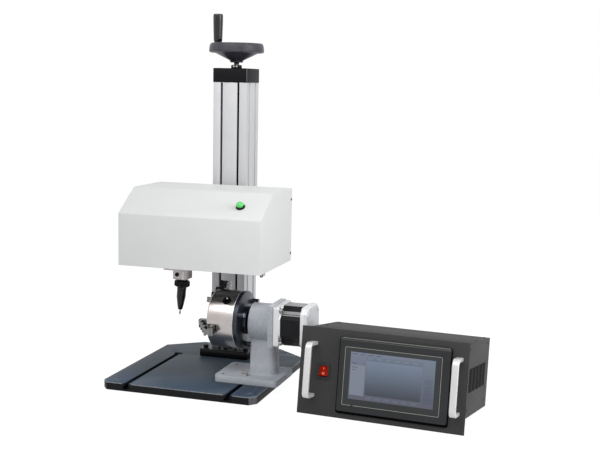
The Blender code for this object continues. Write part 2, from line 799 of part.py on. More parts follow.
def column(group):
    """Foot block, extrusion, cover strip, guide rods, lower bearing and cap."""
    foot = add_object(
        "column_foot",
        block_mesh(
            "column_foot",
            (-FOOT_WIDTH / 2, FOOT_FRONT, FOOT_LOW),
            (FOOT_WIDTH / 2, FOOT_BACK, FOOT_HIGH),
        ),
        "black_oxide",
        group,
    )
    break_edges(foot, EDGE_BREAK)
    pocket = rod_mesh(
        "pocket",
        BEARING_RADIUS + FIT,
        (0, 0, FOOT_HIGH - BEARING_POCKET),
        (0, 0, FOOT_HIGH + OVERCUT),
    )
    cut(foot, "bearing_pocket", pocket)

    length = COLUMN_TOP - COLUMN_LOW
    middle = Matrix.Translation((0, 0, COLUMN_LOW + length / 2))
    extrusion = outline_mesh("column_extrusion", [column_section()], length)
    add_object("column_extrusion", extrusion, "anodised", group, middle)

    strip = block_mesh(
        "column_cover_strip",
        (-STRIP_WIDTH / 2, -COLUMN_SIDE / 2, COLUMN_LOW),
        (STRIP_WIDTH / 2, -COLUMN_SIDE / 2 + STRIP_THICK, COLUMN_TOP),
    )
    add_object("column_cover_strip", strip, "anodised", group)

    cap_half = COLUMN_SIDE / 2 + CAP_OVERHANG
    cap = add_object(
        "column_top_cap",
        block_mesh("column_top_cap", (-cap_half, -cap_half, CAP_LOW), (cap_half, cap_half, CAP_HIGH)),
        "black_oxide",
        group,
    )
    break_edges(cap, EDGE_BREAK)
    bore = rod_mesh("bore", SHAFT_RADIUS + RUN, (0, 0, CAP_LOW - OVERCUT), (0, 0, CAP_HIGH + OVERCUT))
    cut(cap, "shaft_bore", bore)

    for side, word in ((-1, "left"), (1, "right")):
        x = side * ROD_X
        low = FOOT_HIGH - ROD_SOCKET
        high = CAP_LOW + ROD_SOCKET
        name = "guide_rod_" + word
        rod = rod_mesh(name, ROD_RADIUS, (x, 0, low + FIT), (x, 0, high - FIT), SMALL_ROUND)
        add_object(name, rod, "ground_steel", group)
        low_hole = rod_mesh("socket", ROD_RADIUS + FIT, (x, 0, low), (x, 0, FOOT_HIGH + OVERCUT), SMALL_ROUND)
        high_hole = rod_mesh("socket", ROD_RADIUS + FIT, (x, 0, CAP_LOW - OVERCUT), (x, 0, high), SMALL_ROUND)
        cut(foot, "rod_socket", low_hole)
        cut(cap, "rod_socket", high_hole)

    bearing_low = FOOT_HIGH - BEARING_POCKET + FIT
    bearing_high = bearing_low + BEARING_HEIGHT
    race = [
        (SCREW_JOURNAL + RUN, bearing_high),
        (BEARING_RADIUS, bearing_high),
        (BEARING_RADIUS, bearing_low),
        (SCREW_JOURNAL + RUN, bearing_low),
    ]
    turned("screw_lower_bearing", race, "bright_steel", group, ring=True)


def lifting_screw(wheel, grip):
    """The screw with its shaft, the collar on the cap, the dished handwheel and its turning grip."""
    journal_low = FOOT_HIGH - BEARING_POCKET + FIT * 2
    thread_low = FOOT_HIGH + THREAD_GAP
    hub_high = WHEEL_LOW + HUB_HEIGHT
    shaft = [
        (0, hub_high - SHAFT_SETBACK),
        (SHAFT_RADIUS, hub_high - SHAFT_SETBACK),
        (SHAFT_RADIUS, COLUMN_TOP),
        (SCREW_RADIUS, COLUMN_TOP),
        (SCREW_RADIUS, thread_low),
        (SCREW_JOURNAL, thread_low),
        (SCREW_JOURNAL, journal_low),
        (0, journal_low),
    ]
    turned("lead_screw", shaft, "ground_steel", wheel)

    collar_low = CAP_HIGH + FIT
    collar_high = collar_low + COLLAR_HEIGHT
    bore = SHAFT_RADIUS + FIT
    ring = [
        (bore, collar_high),
        (COLLAR_RADIUS - COLLAR_BREAK, collar_high),
        (COLLAR_RADIUS, collar_high - COLLAR_BREAK),
        (COLLAR_RADIUS, collar_low),
        (bore, collar_low),
    ]
    turned("shaft_collar", ring, "black_oxide", wheel, ring=True)

    rim_inner = WHEEL_RADIUS - RIM_WIDTH
    rim_top = WHEEL_RADIUS - RIM_DRAFT
    dish = [
        (bore, hub_high),
        (HUB_TOP_RADIUS - COLLAR_BREAK, hub_high),
        (HUB_TOP_RADIUS, hub_high - COLLAR_BREAK),
        (HUB_RADIUS, WHEEL_LOW + HUB_SKIRT + HUB_FILLET),
        (rim_inner - RIM_ROUND, RIM_LOW + DISH_THICK),
        (rim_inner, RIM_LOW + DISH_FILLET),
        (rim_inner, RIM_HIGH - RIM_ROUND),
        (rim_inner + RIM_ROUND, RIM_HIGH),
        (rim_top - RIM_ROUND, RIM_HIGH),
        (rim_top, RIM_HIGH - RIM_ROUND),
        (WHEEL_RADIUS, RIM_LOW + RIM_ROUND),
        (WHEEL_RADIUS - RIM_ROUND / 2, RIM_LOW),
        (WHEEL_RADIUS - RIM_ROUND * 2, RIM_LOW - LIP_DROP),
        (rim_inner + RIM_ROUND, RIM_LOW),
        (HUB_RADIUS + EDGE_BREAK, WHEEL_LOW + HUB_SKIRT),
        (HUB_RADIUS, WHEEL_LOW),
        (bore, WHEEL_LOW),
    ]
    handwheel = turned("handwheel", dish, "wheel_plastic", wheel, sides=WIDE_ROUND, ring=True)
    boss_low = RIM_LOW + DISH_THICK / 2
    at = Vector((GRIP_PLACE.x, GRIP_PLACE.y, 0))
    boss = rod_mesh(
        "boss",
        GRIP_BOSS,
        at + Vector((0, 0, boss_low)),
        at + Vector((0, 0, GRIP_LOW - FIT)),
        SMALL_ROUND,
    )
    pin = rod_mesh(
        "pin",
        GRIP_PIN,
        at + Vector((0, 0, boss_low + SINK)),
        at + Vector((0, 0, GRIP_LOW + GRIP_PIN_LENGTH)),
        SMALL_ROUND,
    )
    join(handwheel, "grip_boss", boss)
    join(handwheel, "grip_pin", pin)

    bore = GRIP_PIN + RUN
    outside = [
        (0, GRIP_LENGTH),
        (GRIP_HIGH_RADIUS - GRIP_ROUND * 2, GRIP_LENGTH),
        (GRIP_HIGH_RADIUS - GRIP_ROUND / 2, GRIP_LENGTH - GRIP_ROUND / 2),
        (GRIP_HIGH_RADIUS, GRIP_LENGTH - GRIP_ROUND * 2),
        (GRIP_LOW_RADIUS, GRIP_ROUND * 2),
        (GRIP_LOW_RADIUS - GRIP_ROUND / 2, 0),
        (bore, 0),
        (bore, GRIP_PIN_LENGTH + FIT),
        (0, GRIP_PIN_LENGTH + FIT),
    ]
    turned("handwheel_grip", outside, "gloss_black", grip, Matrix.Translation(GRIP_PLACE), sides=24)


def lift_carriage(group):
    """The block on the guide rods, its arms through the column's slits, its pad and the bronze nut."""
    rear = HEAD_BACK + FIT
    block = block_mesh(
        "lift_carriage",
        (-CARRIAGE_WIDTH / 2, CARRIAGE_FRONT, CARRIAGE_LOW),
        (CARRIAGE_WIDTH / 2, CARRIAGE_BACK, CARRIAGE_HIGH),
    )
    carriage = add_object("lift_carriage", block, "cast_aluminium", group)
    pad = block_mesh(
        "pad",
        (-PAD_WIDTH / 2, rear, CARRIAGE_LOW),
        (PAD_WIDTH / 2, rear + PAD_THICK, CARRIAGE_HIGH),
    )
    slit = STRIP_WIDTH / 2 + SLIT_WIDTH / 2
    for side in (-1, 1):
        arm = block_mesh(
            "arm",
            (side * slit - ARM_THICK / 2, rear + PAD_THICK - SINK, CARRIAGE_LOW + SINK),
            (side * slit + ARM_THICK / 2, CARRIAGE_FRONT + SINK, CARRIAGE_HIGH - SINK),
        )
        join(carriage, "arm", arm)
    join(carriage, "pad", pad)
    for side in (-1, 1):
        x = side * ROD_X
        bore = rod_mesh(
            "rod_bore",
            ROD_RADIUS + RUN,
            (x, 0, CARRIAGE_LOW - OVERCUT),
            (x, 0, CARRIAGE_HIGH + OVERCUT),
            SMALL_ROUND,
        )
        cut(carriage, "rod_bore", bore)
    nut_low = CARRIAGE_HIGH - NUT_LENGTH
    nut_hole = rod_mesh("nut_hole", NUT_RADIUS + FIT, (0, 0, nut_low - FIT), (0, 0, CARRIAGE_HIGH + OVERCUT))
    screw_hole = rod_mesh(
        "screw_hole",
        SCREW_RADIUS + SCREW_GAP,
        (0, 0, CARRIAGE_LOW - OVERCUT),
        (0, 0, CARRIAGE_HIGH),
    )
    cut(carriage, "nut_hole", nut_hole)
    cut(carriage, "screw_hole", screw_hole)
    bore = SCREW_RADIUS + RUN
    flange_low = CARRIAGE_HIGH + FIT
    nut = [
        (bore, flange_low + NUT_FLANGE_HEIGHT),
        (NUT_FLANGE, flange_low + NUT_FLANGE_HEIGHT),
        (NUT_FLANGE, flange_low),
        (NUT_RADIUS, flange_low),
        (NUT_RADIUS, nut_low),
        (bore, nut_low),
    ]
    flange = turned("lift_nut", nut, "bronze", group, ring=True)
    for side in (-1, 1):
        relief = block_mesh(
            "rod_relief",
            (side * (ROD_X - ROD_RADIUS - SINK), -NUT_FLANGE, flange_low - OVERCUT),
            (side * (NUT_FLANGE + OVERCUT), NUT_FLANGE, flange_low + NUT_FLANGE_HEIGHT + OVERCUT),
        )
        cut(flange, "rod_relief", relief)


def head_cover(group):
    """The folded sheet cover: front, slope, top and sides, open below and behind."""
    half = HEAD_WIDTH / 2
    fold = [
        (HEAD_FRONT, HEAD_LOW),
        (HEAD_FRONT, HEAD_FRONT_TOP),
        (HEAD_SLOPE_BACK, HEAD_HIGH),
        (HEAD_BACK, HEAD_HIGH),
        (HEAD_BACK, HEAD_LOW),
    ]

    def fill(work):
        left = [work.verts.new((-half, y, z)) for y, z in fold]
        right = [work.verts.new((half, y, z)) for y, z in fold]
        work.faces.new(left)
        work.faces.new(list(reversed(right)))
        for i in range(len(fold) - 2):
            work.faces.new((left[i], right[i], right[i + 1], left[i + 1]))

    cover = add_object("head_cover", mesh_from(fill, "head_cover"), "head_paint", group)
    folds = cover.modifiers.new("folds", "BEVEL")
    folds.width = FOLD_RADIUS
    folds.segments = 2
    folds.limit_method = "ANGLE"
    folds.angle_limit = math.radians(20)
    wall = cover.modifiers.new("sheet", "SOLIDIFY")
    wall.thickness = SHEET
    wall.offset = -1
    wall.use_even_offset = True
    hole = rod_mesh("hole", BEZEL_BARREL + FIT, (0, 0, -BEZEL_DEPTH), (0, 0, OVERCUT), SMALL_ROUND)
    cut(cover, "button_hole", hole, BUTTON_SPACE)


def head_frame(group):
    """Back plate with its sockets, the stage plate with the stylus window, and the two Y rails."""
    half = STAGE_HALF
    plate = block_mesh(
        "head_back_plate",
        (-half, BACK_PLATE_FRONT, HEAD_LOW),
        (half, HEAD_BACK, HEAD_HIGH - SHEET - FIT),
    )
    back = add_object("head_back_plate", plate, "cast_aluminium", group)
    for side in (-1, 1):
        x = side * SOCKET_X
        shell = rod_mesh(
            "socket",
            SOCKET_RADIUS,
            (x, HEAD_BACK - SINK, SOCKET_Z),
            (x, HEAD_BACK + SOCKET_LENGTH, SOCKET_Z),
            SMALL_ROUND,
        )
        mouth = rod_mesh(
            "mouth",
            SOCKET_BORE,
            (x, HEAD_BACK + SOCKET_LENGTH - SOCKET_DEPTH, SOCKET_Z),
            (x, HEAD_BACK + SOCKET_LENGTH + OVERCUT, SOCKET_Z),
            SMALL_ROUND,
        )
        join(back, "socket", shell)
        cut(back, "socket_mouth", mouth)
    seat = rod_mesh(
        "screw_seat",
        Y_SCREW_RADIUS + RUN,
        (Y_DRIVE_X, BACK_PLATE_FRONT - OVERCUT, Y_DRIVE_Z),
        (Y_DRIVE_X, BACK_PLATE_FRONT + SCREW_END_DEPTH, Y_DRIVE_Z),
        SMALL_ROUND,
    )
    cut(back, "screw_seat", seat)

    front = HEAD_FRONT + SHEET + FIT
    rear = BACK_PLATE_FRONT - FIT
    outside = rounded_outline(-half, front, half, rear, (0, 0, 0, 0))
    window = rounded_outline(-WINDOW_HALF, WINDOW_FRONT, WINDOW_HALF, WINDOW_BACK, (WINDOW_ROUND,) * 4)
    place = Matrix.Translation((0, 0, STAGE_LOW + STAGE_THICK / 2))
    mesh = outline_mesh("stage_plate", [outside, window], STAGE_THICK)
    add_object("stage_plate", mesh, "black_oxide", group, place)

    for side, word in ((-1, "left"), (1, "right")):
        middle = side * Y_RAIL_X
        name = "y_rail_" + word
        rail = block_mesh(
            name,
            (middle - Y_RAIL_WIDTH / 2, Y_RAIL_FRONT, STAGE_HIGH + FIT),
            (middle + Y_RAIL_WIDTH / 2, Y_RAIL_BACK, STAGE_HIGH + FIT + Y_RAIL_HEIGHT),
        )
        add_object(name, rail, "ground_steel", group)


def square_motor(name, side, length, place, group):
    """A small stepping motor: a body with cut corners and a round pilot boss."""
    half = side / 2
    mesh = outline_mesh(name, [cut_corner_outline(-half, -half, half, half, MOTOR_CORNER)], length)
    motor = add_object(name, mesh, "lamination", group, place)
    boss = rod_mesh(
        "boss",
        MOTOR_BOSS,
        (0, 0, length / 2 - SINK),
        (0, 0, length / 2 + MOTOR_BOSS_HEIGHT),
        SMALL_ROUND,
    )
    join(motor, "pilot", boss)


def y_drive(head, screw):
    """The motor at the stage's front right and its screw, which ends in the back plate."""
    middle_y = Y_MOTOR_FRONT + Y_MOTOR_LENGTH / 2
    place = Matrix.Translation((Y_DRIVE_X, middle_y, Y_DRIVE_Z)) @ ALONG_Y
    square_motor("y_motor", Y_MOTOR_SIDE, Y_MOTOR_LENGTH, place, head)
    length = BACK_PLATE_FRONT + SCREW_END_DEPTH - FIT - Y_SCREW_START
    profile = [
        (0, length),
        (Y_SCREW_RADIUS, length),
        (Y_SCREW_RADIUS, COUPLER_LENGTH),
        (COUPLER_RADIUS, COUPLER_LENGTH),
        (COUPLER_RADIUS, 0),
        (0, 0),
    ]
    start = Matrix.Translation((Y_DRIVE_X, Y_SCREW_START, Y_DRIVE_Z)) @ ALONG_Y
    turned("y_screw", profile, "ground_steel", screw, start, sides=SMALL_ROUND)


def y_bridge(bridge, screw):
    """The beam on its two slide blocks, the X rail, the X motor and the X screw."""
    beam = add_object(
        "y_bridge",
        block_mesh("y_bridge", (-BEAM_HALF, BEAM_FRONT, BEAM_LOW), (BEAM_HALF, BEAM_BACK, BEAM_HIGH)),
        "cast_aluminium",
        bridge,
    )
    rail_high = STAGE_HIGH + FIT + Y_RAIL_HEIGHT
    for side in (-1, 1):
        middle = side * Y_RAIL_X
        block = block_mesh(
            "block",
            (middle - BLOCK_WIDTH / 2, BLOCK_FRONT, BLOCK_LOW),
            (middle + BLOCK_WIDTH / 2, BLOCK_BACK, BLOCK_HIGH),
        )
        join(beam, "slide_block", block)
    for side in (-1, 1):
        middle = side * Y_RAIL_X
        groove = block_mesh(
            "groove",
            (middle - Y_RAIL_WIDTH / 2 - FIT, BLOCK_FRONT - OVERCUT, BLOCK_LOW - OVERCUT),
            (middle + Y_RAIL_WIDTH / 2 + FIT, BLOCK_BACK + OVERCUT, rail_high + FIT),
        )
        cut(beam, "rail_groove", groove)
    end_left = -BEAM_HALF
    end_right = end_left + X_END_BLOCK
    end_block = block_mesh(
        "end_block",
        (end_left, BEAM_FRONT, BEAM_HIGH - SINK),
        (end_right, BEAM_BACK, X_END_HIGH),
    )
    join(beam, "screw_end", end_block)
    seat = rod_mesh(
        "seat",
        X_SCREW_RADIUS + RUN,
        (end_left + SHEET, X_DRIVE_Y, X_DRIVE_Z),
        (end_right + OVERCUT, X_DRIVE_Y, X_DRIVE_Z),
        SMALL_ROUND,
    )
    cut(beam, "screw_seat", seat)
    nut_bore = rod_mesh(
        "nut_bore",
        Y_SCREW_RADIUS + RUN,
        (Y_DRIVE_X, BEAM_FRONT - OVERCUT, Y_DRIVE_Z),
        (Y_DRIVE_X, BEAM_BACK + OVERCUT, Y_DRIVE_Z),
        SMALL_ROUND,
    )
    cut(beam, "nut_bore", nut_bore)

    rail = block_mesh(
        "x_rail",
        (X_RAIL_LEFT, BEAM_FRONT - FIT - X_RAIL_THICK, X_RAIL_LOW),
        (X_RAIL_RIGHT, BEAM_FRONT - FIT, X_RAIL_LOW + X_RAIL_HEIGHT),
    )
    add_object("x_rail", rail, "ground_steel", bridge)

    middle_x = X_MOTOR_LEFT + X_MOTOR_LENGTH / 2
    place = Matrix.Translation((middle_x, X_DRIVE_Y, X_DRIVE_Z)) @ ALONG_X.inverted()
    square_motor("x_motor", X_MOTOR_SIDE, X_MOTOR_LENGTH, place, bridge)

    start_x = X_MOTOR_LEFT - MOTOR_BOSS_HEIGHT - FIT
    length = start_x - (end_left + SHEET + FIT)
    profile = [
        (0, length),
        (X_SCREW_RADIUS, length),
        (X_SCREW_RADIUS, COUPLER_LENGTH),
        (X_COUPLER_RADIUS, COUPLER_LENGTH),
        (X_COUPLER_RADIUS, 0),
        (0, 0),
    ]
    start = Matrix.Translation((start_x, X_DRIVE_Y, X_DRIVE_Z)) @ ALONG_X.inverted()
    turned("x_screw", profile, "ground_steel", screw, start, sides=SMALL_ROUND)


def x_slide(group):
    """The X slide that wraps over the beam, the pin holder and the stylus unit."""
    back = BEAM_FRONT - SLIDE_GAP
    slide = add_object(
        "x_slide",
        block_mesh("x_slide", (SLIDE_LEFT, SLIDE_FRONT, SLIDE_LOW), (SLIDE_RIGHT, back, SLIDE_HIGH)),
        "cast_aluminium",
        group,
    )
    over = block_mesh(
        "over",
        (SLIDE_LEFT, back - SINK, SLIDE_TOP_LOW),
        (SLIDE_RIGHT, SLIDE_TOP_BACK, SLIDE_HIGH),
    )
    join(slide, "nut_arm", over)
    groove = block_mesh(
        "groove",
        (SLIDE_LEFT - OVERCUT, BEAM_FRONT - FIT * 2 - X_RAIL_THICK, X_RAIL_LOW - FIT),
        (SLIDE_RIGHT + OVERCUT, back + SINK, X_RAIL_LOW + X_RAIL_HEIGHT + FIT),
    )
    cut(slide, "rail_groove", groove)
    bore = rod_mesh(
        "nut_bore",
        X_SCREW_RADIUS + RUN,
        (SLIDE_LEFT - OVERCUT, X_DRIVE_Y, X_DRIVE_Z),
        (SLIDE_RIGHT + OVERCUT, X_DRIVE_Y, X_DRIVE_Z),
        SMALL_ROUND,
    )
    cut(slide, "nut_bore", bore)

    outline = rounded_outline(
        HOLDER_LEFT,
        HOLDER_FRONT,
        HOLDER_RIGHT,
        SLIDE_FRONT - FIT,
        (HOLDER_ROUND, EDGE_BREAK, 0, 0),
    )
    height = HOLDER_HIGH - HOLDER_LOW
    place = Matrix.Translation((0, 0, HOLDER_LOW + height / 2))
    mesh = outline_mesh("pin_holder", [outline], height)
    holder = add_object("pin_holder", mesh, "bright_steel", group, place)
    clamp = rod_mesh("clamp_bore", SHANK_RADIUS + RUN, (0, 0, BODY_HIGH), (0, 0, SHANK_HIGH + OVERCUT))
    flange = block_mesh(
        "flange",
        (HOLDER_FLANGE_LEFT, HOLDER_FLANGE_FRONT, HOLDER_FLANGE_LOW),
        (HOLDER_FLANGE_RIGHT, SLIDE_FRONT - FIT, HOLDER_FLANGE_LOW + HOLDER_FLANGE_THICK),
    )
    join(holder, "flange", flange, place.inverted())
    cut(holder, "clamp_bore", clamp, place.inverted() @ STYLUS_SPACE)

    knurl = [
        (SHANK_RADIUS + FIT, NECK_HIGH),
        (NECK_RADIUS, NECK_HIGH),
        (NECK_RADIUS, KNURL_HIGH),
        (KNURL_RADIUS - KNURL_BREAK, KNURL_HIGH),
        (KNURL_RADIUS, KNURL_HIGH - KNURL_BREAK),
        (KNURL_RADIUS, BODY_HIGH + FIT + KNURL_BREAK),
        (KNURL_RADIUS - KNURL_BREAK, BODY_HIGH + FIT),
        (SHANK_RADIUS + FIT, BODY_HIGH + FIT),
    ]
    turned("stylus_collar", knurl, "black_oxide", group, STYLUS_SPACE, ring=True)

    guide = NEEDLE_RADIUS + RUN
    body = [
        (0, SHANK_HIGH),
        (SHANK_RADIUS, SHANK_HIGH),
        (SHANK_RADIUS, BODY_HIGH),
        (BODY_HIGH_RADIUS, BODY_HIGH),
        (BODY_HIGH_RADIUS, BODY_SHOULDER),
        (BODY_MIDDLE_RADIUS, BODY_MIDDLE),
        (BODY_LOW_RADIUS, BODY_LOW + BODY_NOSE),
        (BODY_LOW_RADIUS - BODY_NOSE / 2, BODY_LOW),
        (guide, BODY_LOW),
        (guide, CHAMBER_LOW),
        (CHAMBER_RADIUS, CHAMBER_LOW),
        (CHAMBER_RADIUS, CHAMBER_HIGH),
        (0, CHAMBER_HIGH),
    ]
    turned("stylus_body", body, "black_oxide", group, STYLUS_SPACE)


def needle(group):
    """The carbide-tipped needle with its head inside the stylus body's chamber."""
    profile = [
        (0, NEEDLE_HEAD_HIGH),
        (NEEDLE_HEAD, NEEDLE_HEAD_HIGH),
        (NEEDLE_HEAD, NEEDLE_HEAD_LOW),
        (NEEDLE_RADIUS, NEEDLE_HEAD_LOW),
        (NEEDLE_RADIUS, NEEDLE_TIP_LENGTH + NEEDLE_RADIUS),
        (NEEDLE_TIP_RADIUS, NEEDLE_TIP_LENGTH),
        (NEEDLE_TIP_RADIUS, NEEDLE_POINT),
        (0, 0),
    ]
    turned("stylus_needle", profile, "ground_steel", group, STYLUS_SPACE, sides=SMALL_ROUND)


def start_button(head, group):
    """The black bezel in the slope and the green domed cap that is pressed."""
    bezel = [
        (BEZEL_BORE, FIT + BEZEL_HEIGHT),
        (BEZEL_RADIUS - EDGE_BREAK, FIT + BEZEL_HEIGHT),
        (BEZEL_RADIUS, FIT + BEZEL_HEIGHT - EDGE_BREAK),
        (BEZEL_RADIUS, FIT),
        (BEZEL_BARREL, FIT),
        (BEZEL_BARREL, -BEZEL_DEPTH),
        (BEZEL_BORE, -BEZEL_DEPTH),
    ]
    turned("button_bezel", bezel, "gloss_black", head, BUTTON_SPACE, sides=SMALL_ROUND, ring=True)
    dome = [(0, DOME_LIFT + DOME_HEIGHT)]
    for degrees in (65, 45, 25, 0):
        angle = math.radians(degrees)
        dome.append((DOME_RADIUS * math.cos(angle), DOME_LIFT + DOME_HEIGHT * math.sin(angle)))
    dome += [(STEM_RADIUS, DOME_LIFT), (STEM_RADIUS, -STEM_DEPTH), (0, -STEM_DEPTH)]
    turned("start_button", dome, "button_green", group, BUTTON_SPACE, sides=SMALL_ROUND)


def air_fitting(group):
    """The small elbow for the air line, under the head's right side."""
    high = STAGE_LOW - FIT
    stem = rod_mesh(
        "air_fitting",
        FITTING_STEM,
        (FITTING_X, FITTING_Y, high - FITTING_DROP),
        (FITTING_X, FITTING_Y, high),
        SMALL_ROUND,
    )
    fitting = add_object("air_fitting", stem, "black_oxide", group)
    barrel = rod_mesh(
        "barrel",
        FITTING_BARREL,
        (FITTING_X, FITTING_Y - FITTING_HALF, high - FITTING_DROP),
        (FITTING_X, FITTING_Y + FITTING_HALF, high - FITTING_DROP),
        SMALL_ROUND,
    )
    join(fitting, "barrel", barrel)


def chuck_body(group):
    """The three-jaw chuck's body: bore, hub, scroll cavity, ribbed jaw slots and pinion holes."""
    length = CHUCK_LENGTH
    profile = [
        (CHUCK_BORE, length),
        (CHUCK_HUB, length),
        (CHUCK_HUB, FRONT_WALL),
        (CHUCK_CAVITY, FRONT_WALL),
        (CHUCK_CAVITY, length),
        (CHUCK_RADIUS - CHUCK_BREAK / 2, length),
        (CHUCK_RADIUS, length - CHUCK_BREAK / 2),
        (CHUCK_RADIUS, CHUCK_BREAK),
        (CHUCK_RADIUS - CHUCK_BREAK, 0),
        (CHUCK_BORE, 0),
    ]
    place = CHUCK_SPACE @ ALONG_X
    body = turned("chuck_body", profile, "bright_steel", group, place, sides=WIDE_ROUND, ring=True)
    reach = CHUCK_RADIUS + OVERCUT
    to_local = ALONG_X.inverted()
    for number in range(3):
        turn = math.radians(120 * number)
        slot = Matrix.Rotation(JAW_ANGLE + turn, 4, "X")
        wide = JAW_WIDTH / 2 + FIT
        narrow = wide - JAW_RIB
        rib_back = JAW_RIB_FRONT + JAW_RIB_WIDTH
        front = block_mesh("front", (-OVERCUT, 0, -wide), (JAW_RIB_FRONT, reach, wide))
        neck = block_mesh("neck", (JAW_RIB_FRONT - SINK, 0, -narrow), (rib_back + SINK, reach, narrow))
        rear = block_mesh("rear", (rib_back, 0, -wide), (FRONT_WALL + SINK, reach, wide))
        for name, mesh in (("slot_front", front), ("slot_neck", neck), ("slot_rear", rear)):
            cut(body, name, mesh, to_local @ slot)
        hole = rod_mesh(
            "pinion_hole",
            PINION_RADIUS + RUN,
            (PINION_X, CHUCK_CAVITY - OVERCUT, 0),
            (PINION_X, reach, 0),
            SMALL_ROUND,
        )
        cut(body, "pinion_hole", hole, to_local @ Matrix.Rotation(PINION_ANGLE + turn, 4, "X"))


def chuck_inner(scroll, pinions, jaws):
    """The scroll ring behind the front wall, three key pinions and three stepped jaws."""
    front = FRONT_WALL + FIT
    ring = [
        (CHUCK_HUB + RUN, front + SCROLL_THICK),
        (CHUCK_CAVITY - RUN, front + SCROLL_THICK),
        (CHUCK_CAVITY - RUN, front),
        (CHUCK_HUB + RUN, front),
    ]
    turned("chuck_scroll", ring, "ground_steel", scroll, CHUCK_SPACE @ ALONG_X, sides=WIDE_ROUND, ring=True)
    for number in range(3):
        turn = math.radians(120 * number)
        at_pinion = CHUCK_SPACE @ Matrix.Rotation(PINION_ANGLE + turn, 4, "X")
        name = "chuck_pinion_" + str(number + 1)
        bar = rod_mesh(
            name,
            PINION_RADIUS,
            (PINION_X, PINION_INNER, 0),
            (PINION_X, PINION_OUTER, 0),
            SMALL_ROUND,
        )
        pinion = add_object(name, bar, "black_oxide", pinions[number], at_pinion)
        half = KEY_SQUARE / 2
        socket = block_mesh(
            "socket",
            (PINION_X - half, PINION_OUTER - KEY_DEPTH, -half),
            (PINION_X + half, PINION_OUTER + OVERCUT, half),
        )
        cut(pinion, "key_socket", socket)
        at_jaw = CHUCK_SPACE @ Matrix.Rotation(JAW_ANGLE + turn, 4, "X")
        add_jaw("chuck_jaw_" + str(number + 1), jaws[number], at_jaw)


def add_jaw(name, group, place):
    """A jaw: stepped front, grooved sides that ride on the slot's ribs, scroll teeth behind."""
    half = JAW_WIDTH / 2
    outline = [(JAW_BACK, JAW_INNER)]
    outline.append((-JAW_STEPS[0][1], JAW_INNER))
    for number, (radius, height) in enumerate(JAW_STEPS):
        outline.append((-height, radius))
        following = JAW_STEPS[number + 1][1] if number + 1 < len(JAW_STEPS) else -FIT * 2
        outline.append((-following, radius))
    outline.append((FIT * 2, JAW_OUTER))
    outline.append((JAW_BACK, JAW_OUTER))
    jaw = add_object(name, outline_mesh(name, [outline], JAW_WIDTH), "ground_steel", group, place)
    rib_low = JAW_RIB_FRONT - FIT
    rib_high = JAW_RIB_FRONT + JAW_RIB_WIDTH + FIT
    for side in (-1, 1):
        groove = block_mesh(
            "groove",
            (rib_low, JAW_INNER - OVERCUT, side * (half - JAW_RIB)),
            (rib_high, JAW_OUTER + OVERCUT, side * (half + OVERCUT)),
        )
        cut(jaw, "side_groove", groove)
    count = int((JAW_OUTER - JAW_INNER - JAW_TOOTH_WIDTH) / JAW_TOOTH_PITCH) + 1
    for tooth in range(count):
        low = JAW_INNER + JAW_TOOTH_PITCH * tooth
        mesh = block_mesh(
            "tooth",
            (JAW_BACK - SINK, low, -half + FIT),
            (JAW_BACK + JAW_TOOTH_HEIGHT, low + JAW_TOOTH_WIDTH, half - FIT),
        )
        join(jaw, "tooth", mesh)


def chuck_drive(group):
    """The adapter plate with its three screws, and the spindle that carries it."""
    pilot = ADAPTER_FRONT - PILOT_LENGTH
    profile = [
        (0, ADAPTER_BACK),
        (CHUCK_RADIUS, ADAPTER_BACK),
        (CHUCK_RADIUS, ADAPTER_FRONT),
        (CHUCK_CAVITY - FIT, ADAPTER_FRONT),
        (CHUCK_CAVITY - FIT, pilot),
        (CHUCK_HUB + FIT, pilot),
        (CHUCK_HUB + FIT, ADAPTER_FRONT),
        (0, ADAPTER_FRONT),
    ]
    on_axis = Matrix.Translation((0, AXIS_Y, AXIS_Z)) @ ALONG_X
    plate = turned("chuck_adapter", profile, "blued_steel", group, on_axis, sides=WIDE_ROUND)
    for number in range(3):
        angle = ADAPTER_BOLT_ANGLE + math.radians(120 * number)
        y = ADAPTER_BOLT_CIRCLE * math.cos(angle)
        z = ADAPTER_BOLT_CIRCLE * math.sin(angle)
        screw = rod_mesh(
            "screw",
            ADAPTER_BOLT_RADIUS,
            (ADAPTER_BACK - SINK, y, z),
            (ADAPTER_BACK + ADAPTER_BOLT_LENGTH, y, z),
            SMALL_ROUND,
        )
        join(plate, "adapter_screw", screw, ALONG_X.inverted())
    flange_back = SPINDLE_FRONT + SPINDLE_FLANGE_THICK
    shaft = [
        (0, DRIVE_SHAFT_END),
        (DRIVE_SHAFT_RADIUS, DRIVE_SHAFT_END),
        (DRIVE_SHAFT_RADIUS, SPINDLE_END),
        (SPINDLE_RADIUS, SPINDLE_END),
        (SPINDLE_RADIUS, flange_back),
        (SPINDLE_FLANGE, flange_back),
        (SPINDLE_FLANGE, SPINDLE_FRONT),
        (0, SPINDLE_FRONT),
    ]
    turned("spindle", shaft, "ground_steel", group, on_axis)


